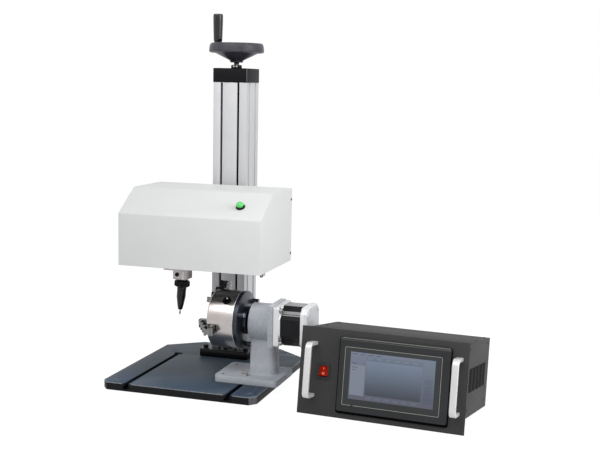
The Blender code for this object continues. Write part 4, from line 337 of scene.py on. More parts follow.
def screen_finish(name, top, bottom, low, high):
    """A lit area of the screen, its colour running from top to bottom in the screen's own space."""
    tree = Tree(bpy.data.materials.new(name))
    colour = tree.mix(tree.spread(tree.axes()[2], 0, 1, low, high), linear(*bottom), linear(*top))
    tree.give("Base Color", colour)
    tree.give("Emission Color", colour)
    tree.give("Emission Strength", 0.3)
    tree.give("Roughness", 0.12)
    tree.give("Specular IOR Level", 0.15)
    return tree.owner


def lamination_finish():
    """Stacked sheets: thin lines across the motor's length, with painted light that turns the faces looking
    up light grey.
    """
    tree = Tree(bpy.data.materials.new("motor_stack"))
    line = tree.lines(tree.axes()[0], 1400)
    slow = tree.spread(tree.noise(tree.place(), 60), 0, 1)
    sheet = tree.mix(slow, linear(28, 28, 30), linear(36, 36, 38))
    # Painted light: faces that look up are light grey.
    painted_top_light = tree.spread(tree.axes("Normal")[2], 0, 1, 0.85, 0.98)
    tree.give("Base Color", tree.mix(painted_top_light, sheet, linear(164, 164, 167)))
    tree.give("Normal", tree.bump(line, 0.00006))
    tree.give("Roughness", 0.4)
    tree.give("Specular IOR Level", 0.1)
    return tree.owner


def plate_finish():
    """Powder coat over a flat plate, with a painted reflection lighter and bluer towards the front, painted
    shade on the sides and slot floors, and lighter, patchy upper edges and front corner.
    """
    tree = Tree(bpy.data.materials.new("plate_powder_coat"))
    fine = tree.noise(tree.place(), 1100, 2.0)
    slow = tree.spread(tree.noise(tree.place(), 9, 4.0), 0, 1)
    patchy = tree.spread(tree.noise(tree.place(), 320), 0.55, 1.0)
    top = tree.mix(slow, linear(59, 69, 79), linear(67, 77, 88))
    # Painted reflection: lighter and bluer towards the front.
    front = tree.bands([(0.6, [("Object", "Y", -0.20, -0.33)])])
    # Painted shade: dark on the steep sides and on everything below the top, such as the slots' floors.
    steep = ("Normal", "Z", 0.97, 0.80)
    below = ("Object", "Z", PLATE_TOP - 0.0010, PLATE_TOP - 0.0030)
    sides = tree.bands([(1.0, [steep]), (1.0, [below])])
    shade = tree.mix(sides, tree.mix(front, top, linear(61, 82, 106)), linear(22, 23, 26))
    # Lighter, patchy front corner face, and lighter, patchy upper edges of the sides.
    corner = tree.bands([(0.9, [("Normal", "X", 0.4, 0.6), ("Normal", "Y", -0.4, -0.6)])])
    shade = tree.mix(tree.math("MULTIPLY", corner, patchy), shade, linear(120, 121, 124))
    edge = [("Object", "Z", PLATE_TOP - 0.0020, PLATE_TOP - 0.0016), ("Normal", "Z", 0.985, 0.93)]
    near, far = SLOT_X - SLOT_HALF, SLOT_X + SLOT_HALF
    between = [("Object", "X", near, near - 0.0004), ("Object", "X", 0.0004 - near, 0.0008 - near)]
    right = ("Object", "X", far, far + 0.0004)
    left = ("Object", "X", -far, -far - 0.0004)
    edges = tree.bands([(1.0, [*edge, *between]), (1.0, [*edge, right]), (1.0, [*edge, left])])
    shade = tree.mix(tree.math("MULTIPLY", edges, patchy), shade, linear(150, 152, 156))
    tree.give("Base Color", shade)
    tree.give("Specular IOR Level", 0.12)
    tree.give("Roughness", tree.spread(fine, 0.44, 0.56))
    tree.give("Normal", tree.bump(fine, 0.00008))
    return tree.owner


# Bands of painted highlights and painted light, for the marks of a finish
# Painted highlights: a light line along the screen frame's top edge, and a fainter one below it.
FRAME_HIGHLIGHTS = [
    (1.0, [("Object", "Z", FRAME_TOP - 0.0016, FRAME_TOP - 0.0013)]),
    (
        0.6,
        [
            ("Object", "Z", FRAME_TOP - 0.0046, FRAME_TOP - 0.0043),
            ("Object", "Z", FRAME_TOP - 0.0032, FRAME_TOP - 0.0035),
        ],
    ),
]
# Painted highlight: a light line down the right edge of the cap's front.
CAP_EDGE_HIGHLIGHT = [(1.0, [("Object", "X", CAP_HALF - 0.0014, CAP_HALF - 0.0010), ("Normal", "Y", -0.3, -0.5)])]
# Painted light on the casting: lighter on the housing's upward faces, over the pedestal's middle heights and
# on the base's sides.
CASTING_PAINTED_LIGHT = [
    (1.0, [("Normal", "Z", 0.15, 0.80), ("Object", "Z", 0.150, 0.175)]),
    (0.45, [("Object", "Z", 0.034, 0.050), ("Object", "Z", 0.125, 0.100)]),
    (0.4, [("Normal", "Z", 0.9, 0.7), ("Object", "Z", 0.033, 0.031)]),
]

M = {
    "head": finish(
        "head_powder_coat", linear(232, 233, 232), 0.5, grain=900, height=0.00003, vary=0.012, level=0.3
    ),
    "black": finish("black_oxide", linear(20, 20, 22), 0.26, grain=1300, vary=0.15, level=0.16),
    "cap": finish(
        "black_anodised", linear(18, 18, 21), 0.5, grain=1500, vary=0.1, level=0.13,
        marks=[(linear(118, 120, 126), CAP_EDGE_HIGHLIGHT)],
    ),
    "column": finish(
        "anodised_extrusion", linear(208, 208, 210), 0.48, 0.3, stretch=(1, 1, 0.03), grain=1500, vary=0.04
    ),
    "ground": finish(
        "ground_steel", linear(150, 149, 147), 0.28, 1.0, stretch=(1, 0.1, 1), grain=1600, vary=0.08
    ),
    "bright": finish("bright_steel", linear(196, 194, 190), 0.18, 1.0, grain=1200, vary=0.06),
    "strip": finish("tie_strip", linear(150, 150, 152), 0.4, 0.3, grain=900, vary=0.08),
    "holder": finish(
        "holder_steel", linear(186, 178, 178), 0.26, 0.5, stretch=(1, 1, 0.1), grain=1400, vary=0.1
    ),
    "stylus": finish(
        "stylus_black", linear(16, 16, 17), 0.16, grain=500, height=0.00001, vary=0.1, level=0.3
    ),
    "collar": finish("collar_black", linear(16, 16, 17), 0.22, grain=900, vary=0.15, level=0.15),
    "bronze": finish("bronze", linear(176, 136, 76), 0.35, 1.0, grain=900),
    "rim": finish(
        "wheel_rim", linear(74, 73, 80), 0.36, grain=520, height=0.0003, vary=0.25, patches=60, level=0.22
    ),
    "dish": finish("wheel_dish", linear(60, 59, 67), 0.34, grain=800, vary=0.15, level=0.15),
    "gloss": finish("gloss_black", linear(18, 18, 20), 0.12, grain=300, height=0.00001, vary=0.1, level=0.18),
    "grip": finish("grip_black", linear(18, 18, 22), 0.2, grain=300, height=0.00001, vary=0.1, level=0.5),
    "stage": finish("stage_black", linear(46, 46, 50), 0.5, grain=900, vary=0.1, level=0.2),
    "casting": finish(
        "casting_enamel", linear(183, 187, 194), 0.5, grain=420, height=0.00026, vary=0.1, patches=170,
        level=0.07, marks=[(linear(232, 235, 240), CASTING_PAINTED_LIGHT)],
    ),
    "chuck": turned_finish("chuck_steel", linear(184, 178, 176), 0.27),
    "blued": turned_finish("blued_steel", linear(49, 54, 63), 0.3, 0.6, vary=0.25),
    "shaft": finish("shaft_steel", linear(66, 66, 68), 0.16, 1.0, stretch=(1, 1, 0.1), grain=1500, vary=0.1),
    "jaw": finish("jaw_steel", linear(120, 120, 121), 0.1, 1.0, stretch=(0.1, 1, 1), grain=1400, vary=0.12),
    "bell": finish("bell_aluminium", linear(232, 232, 234), 0.42, 0.35, grain=700, height=0.00008, vary=0.05),
    "cast": finish("cast_plate", linear(186, 187, 190), 0.45, 0.5, grain=700, vary=0.06),
    "rear": finish("rear_cover", linear(204, 205, 208), 0.45, 0.5, grain=700, vary=0.06),
    "box": finish(
        "box_powder_coat", linear(68, 68, 68), 0.62, grain=1200, height=0.00006, vary=0.05, patches=6,
        level=0.08,
    ),
    "rib": finish("louvre_rib", linear(30, 29, 31), 0.6, grain=1200, vary=0.08, level=0.05),
    "louvre": finish("louvre_shadow", linear(10, 10, 11), 0.7, grain=1200, vary=0.08, level=0.05),
    "bezel": finish("bezel_plastic", linear(55, 56, 57), 0.45, grain=1500, vary=0.05, level=0.12),
    "frame": finish(
        "frame_plastic", linear(54, 55, 56), 0.45, grain=1500, vary=0.05, level=0.12,
        marks=[(linear(126, 126, 122), FRAME_HIGHLIGHTS)],
    ),
    # Painted shadow of the screen frame on the panel.
    "painted_shadow": finish("frame_shadow_finish", linear(12, 12, 13), 0.8, grain=900, vary=0.1, level=0.02),
    "line": finish("bezel_line", linear(150, 150, 143), 0.4, 0.2, grain=900, vary=0.05),
    "glass": finish(
        "screen_black", linear(58, 61, 62), 0.14, grain=200, height=0.000002, vary=0.04, level=0.2
    ),
    "silver": finish(
        "handle_silver", linear(222, 221, 220), 0.38, 0.35, stretch=(1, 1, 0.05), grain=1500, vary=0.03
    ),
    "red": finish("rocker_red", linear(162, 26, 2), 0.3, grain=300, vary=0.05, level=0.05),
    "mark": finish("rocker_mark", linear(250, 170, 140), 0.4, grain=300, vary=0.03),
    "green": finish("button_green", linear(96, 222, 112), 0.2, grain=300, vary=0.06, coat=0.3),
    "pin": finish("contact_brass", linear(200, 170, 96), 0.3, 1.0, grain=900),
    "stack": lamination_finish(),
    "plate": plate_finish(),
}


# Pieces

WELD = 0.000004
BEVEL_STEPS = 2
BEVEL_ANGLE = 34
SMOOTH_ANGLE = 32


def smooth_group():
    """Smooth shading over every edge whose faces meet at no more than the smoothing angle."""
    group = bpy.data.node_groups.new("smooth_by_angle", "GeometryNodeTree")
    group.interface.new_socket("Geometry", in_out="INPUT", socket_type="NodeSocketGeometry")
    group.interface.new_socket("Geometry", in_out="OUTPUT", socket_type="NodeSocketGeometry")
    nodes, links = group.nodes, group.links
    start = nodes.new("NodeGroupInput")
    end = nodes.new("NodeGroupOutput")
    all_smooth = nodes.new("GeometryNodeSetShadeSmooth")
    all_smooth.domain = "FACE"
    angle = nodes.new("GeometryNodeInputMeshEdgeAngle")
    flat = nodes.new("FunctionNodeCompare")
    flat.operation = "LESS_EQUAL"
    flat.inputs["B"].default_value = math.radians(SMOOTH_ANGLE)
    edges = nodes.new("GeometryNodeSetShadeSmooth")
    edges.domain = "EDGE"
    links.new(start.outputs[0], all_smooth.inputs["Geometry"])
    links.new(all_smooth.outputs[0], edges.inputs["Geometry"])
    links.new(angle.outputs["Unsigned Angle"], flat.inputs["A"])
    links.new(flat.outputs[0], edges.inputs["Shade Smooth"])
    links.new(edges.outputs[0], end.inputs[0])
    return group


SMOOTH = smooth_group()


def soften(thing, bevel, weld):
    """Welds a faceted CAD mesh, bevels the sharp edges and smooths the rest."""
    if weld:
        thing.modifiers.new("weld", "WELD").merge_threshold = WELD
    if bevel:
        modifier = thing.modifiers.new("edges", "BEVEL")
        modifier.width = bevel
        modifier.segments = BEVEL_STEPS
        modifier.limit_method = "ANGLE"
        modifier.angle_limit = math.radians(BEVEL_ANGLE)
    thing.modifiers.new("smooth", "NODES").node_group = SMOOTH


def dress(node, material, bevel):
    """A CAD node keeps its shape and gets a finish and softened edges."""
    thing = NODES[node]
    thing.data.materials.clear()
    thing.data.materials.append(M[material])
    soften(thing, bevel, weld=True)


def add_piece(name, mesh, body, material, place=None, bevel=0.0):
    """A piece of this script, which rides on a body and takes one of the finishes, or a material of its own.
    """
    thing = bpy.data.objects.new(name, mesh)
    bpy.context.scene.collection.objects.link(thing)
    if place is not None:
        thing.matrix_world = place
    mesh.materials.append(M[material] if isinstance(material, str) else material)
    soften(thing, bevel, weld=False)
    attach(thing, body)
    return thing


def new_mesh(name, fill):
    """A mesh that a function draws, with its faces turned outward."""
    work = bmesh.new()
    fill(work)
    bmesh.ops.recalc_face_normals(work, faces=work.faces)
    mesh = bpy.data.meshes.new(name)
    work.to_mesh(mesh)
    work.free()
    return mesh


def lathe(name, profile, sides):
    """A turned shape from rings (radius, height) or (radius, height, shape), first to last.

    shape may be "hex" for a hexagonal ring, or a function of the angle that scales the radius.
    """

    def fill(work):
        rings = []
        for entry in profile:
            radius, height = entry[:2]
            shape = entry[2] if len(entry) > 2 else None
            if radius == 0:
                rings.append([work.verts.new((0, 0, height))])
                continue
            ring = []
            for step in range(sides):
                angle = math.tau * step / sides
                reach = radius
                if shape == "hex":
                    reach = radius / math.cos((angle + math.pi / 6) % (math.pi / 3) - math.pi / 6)
                elif shape:
                    reach = radius * shape(angle)
                ring.append(work.verts.new((reach * math.cos(angle), reach * math.sin(angle), height)))
            rings.append(ring)
        for first, second in zip(rings, rings[1:]):
            for step in range(sides):
                after = (step + 1) % sides
                if len(first) == 1:
                    work.faces.new((first[0], second[step], second[after]))
                elif len(second) == 1:
                    work.faces.new((first[step], first[after], second[0]))
                else:
                    work.faces.new((first[step], first[after], second[after], second[step]))

    return new_mesh(name, fill)


def cap_screw(radius, height):
    """A socket head cap screw's head, standing on z = 0, with a hexagonal socket."""
    edge = radius * 0.12
    hexagon = radius * 0.5
    return [
        (0, 0),
        (radius, 0),
        (radius, height - edge),
        (radius - edge, height),
        (hexagon * 1.2, height),
        (hexagon, height - edge * 0.6, "hex"),
        (hexagon, height * 0.45, "hex"),
        (0, height * 0.4),
    ]


def button_screw(radius, height):
    """A low domed screw head with a hexagonal socket."""
    hexagon = radius * 0.42
    return [
        (0, 0),
        (radius, 0),
        (radius * 0.97, height * 0.3),
        (radius * 0.82, height * 0.72),
        (radius * 0.6, height * 0.96),
        (hexagon * 1.2, height),
        (hexagon, height * 0.95, "hex"),
        (hexagon, height * 0.35, "hex"),
        (0, height * 0.3),
    ]


def pan_screw(radius, height):
    """A pan head with a shallow round recess."""
    return [
        (0, 0),
        (radius, 0),
        (radius, height * 0.45),
        (radius * 0.85, height * 0.85),
        (radius * 0.55, height),
        (radius * 0.3, height * 0.95),
        (radius * 0.22, height * 0.4),
        (0, height * 0.3),
    ]


def turned(name, profile, sides, body, material, place=None):
    """One turned piece."""
    return add_piece(name, lathe(name, profile, sides), body, material, place)


def screws(name, profile, places, body, material, sides=24):
    """Copies of one turned piece, such as a screw head, one object for each place."""
    mesh = lathe(name, profile, sides)
    for number, place in enumerate(places, 1):
        add_piece(f"{name}_{number}", mesh.copy(), body, material, place)


def at(x, y, z, turn=None):
    """A place, turned there if a turn is given."""
    place = Matrix.Translation((x, y, z))
    return place @ turn if turn else place


def rounded_loop(left, low, right, high, radius, steps=6):
    """The outline of a rectangle in the XZ plane with rounded corners."""
    points = []
    corners = [(left, low, 1, 1, 180), (right, low, -1, 1, 270)]
    corners += [(right, high, -1, -1, 0), (left, high, 1, -1, 90)]
    for x, z, toward_x, toward_z, start in corners:
        x += toward_x * radius
        z += toward_z * radius
        for step in range(steps + 1):
            angle = math.radians(start + 90 * step / steps)
            points.append((x + radius * math.cos(angle), z + radius * math.sin(angle)))
    return points


def slab(name, points, front, back):
    """A flat shape in the XZ plane between two depths along Y."""

    def fill(work):
        near = [work.verts.new((x, front, z)) for x, z in points]
        far = [work.verts.new((x, back, z)) for x, z in points]
        work.faces.new(near)
        work.faces.new(list(reversed(far)))
        for i in range(len(points)):
            j = (i + 1) % len(points)
            work.faces.new((near[j], near[i], far[i], far[j]))

    return new_mesh(name, fill)


def frame_slab(name, outside, inside, front, back):
    """A closed frame between two outlines of equal point count."""

    def fill(work):
        rings = []
        for points, depth in ((outside, front), (inside, front), (inside, back), (outside, back)):
            rings.append([work.verts.new((x, depth, z)) for x, z in points])
        for k in range(4):
            first, second = rings[k], rings[(k + 1) % 4]
            for i in range(len(first)):
                j = (i + 1) % len(first)
                work.faces.new((first[i], first[j], second[j], second[i]))

    return new_mesh(name, fill)


def upright(name, points, start, end):
    """A flat shape in the XY plane between two heights."""
    mesh = slab(name, points, -start, -end)
    mesh.transform(UP_Y)
    return mesh


def tile(left, low, right, high, front, depth, radius=0.0004):
    """A thin rectangle on the screen."""
    return slab("tile", rounded_loop(left, low, right, high, radius, 3), front, front + depth)


def merged(name, meshes):
    """One mesh out of several."""
    work = bmesh.new()
    for mesh in meshes:
        work.from_mesh(mesh)
    out = bpy.data.meshes.new(name)
    work.to_mesh(out)
    work.free()
    return out


def dress_nodes():
    """Finish and bevel of every CAD node that shows."""
    for node, material, bevel in (
        ("base_plate", "plate", 0.0010),
        ("column_foot", "black", 0.0005),
        ("column_extrusion", "column", 0.0003),
        ("column_cover_strip", "column", 0.0004),
        ("column_top_cap", "cap", 0.0003),
        ("guide_rod_left", "ground", 0),
        ("guide_rod_right", "ground", 0),
        ("screw_lower_bearing", "bright", 0.0004),
        ("rotary_bracket", "casting", 0.0016),
        # The spindle bearing's dark blued finish also paints the shade of the recess behind the adapter.
        ("spindle_bearing", "blued", 0.0004),
        ("motor_front_bell", "bell", 0.0012),
        ("motor_stator", "stack", 0.0004),
        ("motor_rear_bell", "bell", 0.0012),
        ("control_panel", "box", 0.0005),
        ("control_tray", "box", 0.0003),
        ("control_lid", "box", 0.0004),
        ("control_handle_left", "silver", 0.0006),
        ("control_handle_right", "silver", 0.0006),
        ("screen_frame", "frame", 0.0010),
        ("screen_glass", "glass", 0.0002),
        ("switch_housing", "bezel", 0.0004),
        ("power_inlet", "gloss", 0.0004),
        ("rear_ports", "rear", 0.0004),
        ("power_supply", "rear", 0.0008),
        ("lead_screw", "shaft", 0.0003),
        ("shaft_collar", "black", 0.0003),
        ("lift_carriage", "cast", 0.0005),
        ("lift_nut", "bronze", 0.0004),
        ("head_back_plate", "cast", 0.0005),
        ("head_cover", "head", 0),
        ("stage_plate", "stage", 0.0004),
        ("y_rail_left", "ground", 0.0003),
        ("y_rail_right", "ground", 0.0003),
        ("y_motor", "stack", 0.0005),
        ("button_bezel", "gloss", 0.0003),
        ("air_fitting", "bright", 0.0004),
        ("start_button", "green", 0.0003),
        ("y_screw", "ground", 0.0003),
        ("y_bridge", "rear", 0.0005),
        ("x_rail", "ground", 0.0003),
        ("x_motor", "stack", 0.0005),
        ("x_screw", "ground", 0.0003),
        ("x_slide", "rear", 0.0005),
        ("pin_holder", "holder", 0.0006),
        ("stylus_body", "stylus", 0.0004),
        ("stylus_needle", "ground", 0),
        ("chuck_body", "chuck", 0.0005),
        ("chuck_adapter", "blued", 0.0006),
        ("spindle", "blued", 0.0004),
        ("chuck_scroll", "ground", 0.0004),
        ("power_rocker", "red", 0.0005),
    ):
        dress(node, material, bevel)
    for number in "123":
        dress("chuck_jaw_" + number, "jaw", 0.0004)
        dress("chuck_pinion_" + number, "gloss", 0.0004)


def wheel_pieces():
    """Handwheel with its rounded rim, the grip on its boss, the hub's nut and the collar's screws."""
    low = WHEEL_LOW
    rim_low = low + 0.0222
    rim_high = rim_low + 0.0212
    rim = [
        (0.0498, rim_low + 0.004),
        (0.0530, rim_low - 0.0006),
        (0.0575, rim_low - 0.0009),
        (0.0608, rim_low + 0.0001),
        (0.0622, rim_low + 0.0013),
        (0.0628, rim_low + 0.0035),
        (0.0625, rim_low + 0.0075),
        (0.0616, rim_high - 0.0068),
        (0.0603, rim_high - 0.0030),
        (0.0588, rim_high - 0.0008),
        (0.0568, rim_high),
        (0.0530, rim_high),
        (0.0506, rim_high - 0.0008),
        (0.0492, rim_high - 0.0028),
        (0.0488, rim_low + 0.0090),
        (0.0470, rim_low + 0.0062),
        (0.0470, rim_low + 0.0040),
        (0.0498, rim_low + 0.004),
    ]
    dish = [
        (0.0063, low),
        (0.0138, low),
        (0.0145, low + 0.0006),
        (0.0147, low + 0.0036),
        (0.0165, low + 0.0050),
        (0.0519, rim_low + 0.0002),
        (0.0519, rim_low + 0.0030),
        (0.0480, rim_low + 0.0064),
        (0.0458, rim_low + 0.0058),
        (0.0165, low + 0.0130),
        (0.0140, low + 0.0150),
        (0.0125, low + 0.0330),
        (0.0115, low + 0.0340),
        (0.0063, low + 0.0340),
        (0.0063, low),
    ]
    rim_piece = turned("wheel_rim", rim, 96, "lift_screw", "rim")
    turned("wheel_dish", dish, 96, "lift_screw", "dish")
    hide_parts("handwheel")
    angle = math.radians(GRIP_ANGLE)
    spot = (GRIP_CIRCLE * math.cos(angle), GRIP_CIRCLE * math.sin(angle))
    boss = [
        (0, rim_low + 0.002),
        (0.0098, rim_low + 0.002),
        (0.0095, rim_high + 0.0008),
        (0.0088, rim_high + 0.0021),
        (0.004, rim_high + 0.0021),
        (0.004, rim_high + 0.056),
        (0, rim_high + 0.056),
    ]
    turned("grip_boss", boss, 40, "lift_screw", "rim", at(*spot, 0))
    grip_low = rim_high + 0.0024
    grip = [
        (0.0044, 0.0),
        (0.0080, 0.0),
        (0.0091, 0.0008),
        (0.0098, 0.0028),
        (0.0101, 0.0100),
        (0.0106, 0.0280),
        (0.0111, 0.0450),
        (0.0112, 0.0560),
        (0.0110, 0.0598),
        (0.0104, 0.0616),
        (0.0092, 0.0623),
        (0.0052, 0.0623),
        (0.0048, 0.0619),
        (0.0046, 0.0605),
        (0, 0.0603),
    ]
    grip_piece = turned("grip_shell", grip, 56, "grip", "grip", at(*spot, grip_low))
    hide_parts("handwheel_grip")
    hub = [
        (0.0061, 0),
        (0.0105, 0),
        (0.0105, 0.0014),
        (0.0072, 0.0015),
        (0.0072, 0.0016, "hex"),
        (0.0072, 0.0062, "hex"),
        (0.0066, 0.0068),
        (0.0044, 0.0068),
        (0.0040, 0.0060),
        (0, 0.0060),
    ]
    turned("hub_nut", hub, 36, "lift_screw", "bright", at(0, 0, low + 0.0342))
    places = []
    for degrees in (262, 292, 82):
        around = Matrix.Rotation(math.radians(degrees), 4, "Z")
        places.append(around @ at(0.0124, 0, 0.6859, UP_X))
    screws("collar_screw", cap_screw(0.0024, 0.0009), places, "lift_screw", "bright", 18)


def stand_pieces():
    """Screws with washers in the column's foot, and the screws of its top cap."""
    foot = [at(x, y, FOOT_TOP) for y in (-0.0535, 0.0470) for x in (-0.048, 0.0015, 0.050)]
    screws("foot_screw", cap_screw(0.0062, 0.0075), foot, "stand", "black")
    washer = [(0.0064, 0), (0.0092, 0), (0.0094, 0.0003), (0.0092, 0.0009), (0.0064, 0.0011)]
    screws("foot_washer", washer, foot, "stand", "shaft", 32)
    cap = [at(x, y, CAP_TOP) for x in (-0.030, 0.030) for y in (-0.030, 0.030)]
    screws("cap_screw", button_screw(0.0048, 0.0004), cap, "stand", "black")


def head_pieces():
    """Screws of the cover and back plate, the rear sockets' detail, and the air fitting's nut and rings."""
    sides = []
    for z in (0.3955, 0.2754):
        sides += [at(HEAD_SIDE, -0.0745, z, UP_X), at(-HEAD_SIDE, -0.0745, z, DOWN_X)]
    screws("cover_screw", button_screw(0.0030, 0.0013), sides, "head", "gloss")
    rear = [at(x, HEAD_REAR, z, UP_Y) for x in (-0.148, -0.070, 0.070, 0.148) for z in (0.272, 0.405)]
    screws("back_screw", cap_screw(0.0042, 0.0035), rear, "head", "black")

    nut = [(0.0112, 0), (0.0150, 0, "hex"), (0.0150, 0.0028, "hex"), (0.0138, 0.0034), (0.0112, 0.0034)]
    insert = [(0, 0), (0.0070, 0), (0.0070, 0.0028), (0.0064, 0.0032), (0, 0.0032)]
    pin = [(0, 0), (0.0008, 0), (0.0008, 0.0028), (0.0005, 0.0032), (0, 0.0032)]
    for number, x, count in ((1, -0.105, 4), (3, 0.105, 2)):
        place = at(x, HEAD_REAR, SOCKET_Z, UP_Y)
        turned(f"socket_nut_{number}", nut, 36, "head", "bright", place)
        place = at(x, HEAD_REAR + 0.0029, SOCKET_Z, UP_Y)
        turned(f"socket_insert_{number}", insert, 32, "head", "gloss", place)
        pins = []
        for step in range(count):
            turn = math.tau * step / count
            across, up = 0.0035 * math.cos(turn), 0.0035 * math.sin(turn)
            pins.append(at(x + across, HEAD_REAR + 0.0061, SOCKET_Z + up, UP_Y))
        screws(f"socket_pin_{number}", pin, pins, "head", "pin", 12)

    x, y = 0.150, -0.229
    nut = [(0.0031, 0), (0.0046, 0.0002, "hex"), (0.0046, 0.0030, "hex"), (0.0042, 0.0034), (0.0031, 0.0034)]
    turned("fitting_nut", nut, 24, "head", "bright", at(x, y, 0.2552))
    ring = [(0.0018, 0), (0.0032, 0), (0.0034, 0.0006), (0.0034, 0.0012), (0.0018, 0.0014)]
    for number, away, turn in ((1, -0.0076, DOWN_Y), (3, 0.0076, UP_Y)):
        place = at(x, y + away, 0.2502, turn)
        turned(f"release_ring_{number}", ring, 24, "head", "gloss", place)


def stylus_pieces():
    """Knurled collar and band of the stylus; the holder's clamp screw with a washer, and a light bar at its
    rounded corner that is a painted highlight.
    """

    def knurl(depth):
        return lambda angle: 1.0 - depth * (0.5 + 0.5 * math.cos(angle * 42))

    collar = [
        (0.0083, 0.0802),
        (0.0114, 0.0802),
        (0.0120, 0.0796),
        (0.0120, 0.0777),
        (0.0145, 0.0774),
        (0.0160, 0.0762, knurl(0.03)),
        (0.0167, 0.0745, knurl(0.055)),
        (0.0172, 0.0672, knurl(0.055)),
        (0.0164, 0.0654, knurl(0.03)),
        (0.0146, 0.0643),
        (0.0083, 0.0643),
        (0.0083, 0.0802),
    ]
    piece = turned("knurled_collar", collar, 168, "slide", "collar", STYLUS_SPACE)
    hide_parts("stylus_collar")
    band = [(0.0094, 0.0576), (0.0101, 0.0580), (0.0104, 0.0590), (0.0104, 0.0612)]
    band += [(0.0100, 0.0622), (0.0094, 0.0626), (0.0094, 0.0576)]
    turned("stylus_band", band, 48, "slide", "stylus", STYLUS_SPACE)
    clamp = at(-0.0526, -0.2101, 0.2340, DOWN_Y)
    washer = [(0.0052, 0), (0.0060, 0), (0.0060, 0.0005), (0.0052, 0.0006)]
    turned("clamp_washer", washer, 32, "slide", "bright", clamp)
    # Painted highlight: a light bar standing proud at the holder's rounded front corner.
    bar = slab("holder_highlight_bar", rounded_loop(-0.0410, 0.2236, -0.0364, 0.2418, 0.0005, 2), -0.2112, -0.2050)
    add_piece("holder_highlight_bar", bar, "slide", "bell", None, 0.0004)
    screws("clamp_screw", cap_screw(0.0050, 0.0022), [clamp], "slide", "black")


def beside_axis(x, reach, degrees, turn):
    """A place at a distance from the chuck's axis and at an angle round it."""
    angle = math.radians(degrees)
    return at(x, AXIS_Y + reach * math.cos(angle), AXIS_Z + reach * math.sin(angle), turn)


def chuck_pieces():
    """Face screws, key rims, light domes on the pinions that paint the keys' glints, the adapter's screw
    sockets, light rings on edges that paint their highlights, and a ring on the face.
    """
    rim = [(0.0083, 0), (0.0094, 0), (0.0098, 0.0003), (0.0098, 0.0006), (0.0083, 0.0008)]
    glint_dome = [(0, -0.0006), (0.0017, -0.0006), (0.0017, 0.0002), (0.0015, 0.0008), (0.0010, 0.0013), (0, 0.0016)]
    for number in (1, 2, 3):
        key = CHUCK_SPACE @ Matrix.Rotation(math.radians(10 + 120 * number), 4, "X")
        place = key @ at(0.0375, 0.0618, 0, UP_Y)
        turned(f"key_rim_{number}", rim, 32, "chuck", "gloss", place)
        # Painted highlight: a light dome on each pinion stands for the glint on its face.
        place = key @ at(0.0365, 0.0618, -0.0060, UP_Y)
        turned(f"key_glint_{number}", glint_dome, 16, f"pinion_{number}", "bell", place)
    face = [beside_axis(CHUCK_FACE - 0.0001, 0.046, degrees, DOWN_X) for degrees in (130, 250, 370)]
    screws("face_screw", cap_screw(0.0042, 0.0006), face, "chuck", "black")
    rear = [beside_axis(0.1151, 0.055, degrees, UP_X) for degrees in (37, 157, 277)]
    socket = [(0, 0), (0.0050, 0), (0.0050, 0.0003), (0.0028, 0.0003), (0.0028, 0.0002, "hex"), (0, 0.0001)]
    screws("adapter_socket", socket, rear, "chuck", "bright")
    # Painted highlights: light rings on the chuck's back edge and on the adapter's edge.
    edge = [(0.0600, -0.0015), (0.0620, -0.0008), (0.0624, 0), (0.0620, 0.0006), (0.0600, 0.0012)]
    for number, x, shade in ((1, 0.0581, "bell"), (2, 0.0662, "line")):
        place = CHUCK_SPACE @ at(x, 0, 0, UP_X)
        turned(f"edge_ring_{number}", edge, 96, "chuck", shade, place)
    ring = [(0.0400, 0), (0.0404, -0.0003), (0.0412, -0.0003), (0.0416, 0)]
    turned("face_ring", ring, 96, "chuck", "ground", CHUCK_SPACE @ UP_X)


def motor_corners(x, reach):
    """Places at the four corners of the motor, facing its rear."""
    return [at(x, AXIS_Y + y, AXIS_Z + z, UP_X) for y in (-reach, reach) for z in (-reach, reach)]


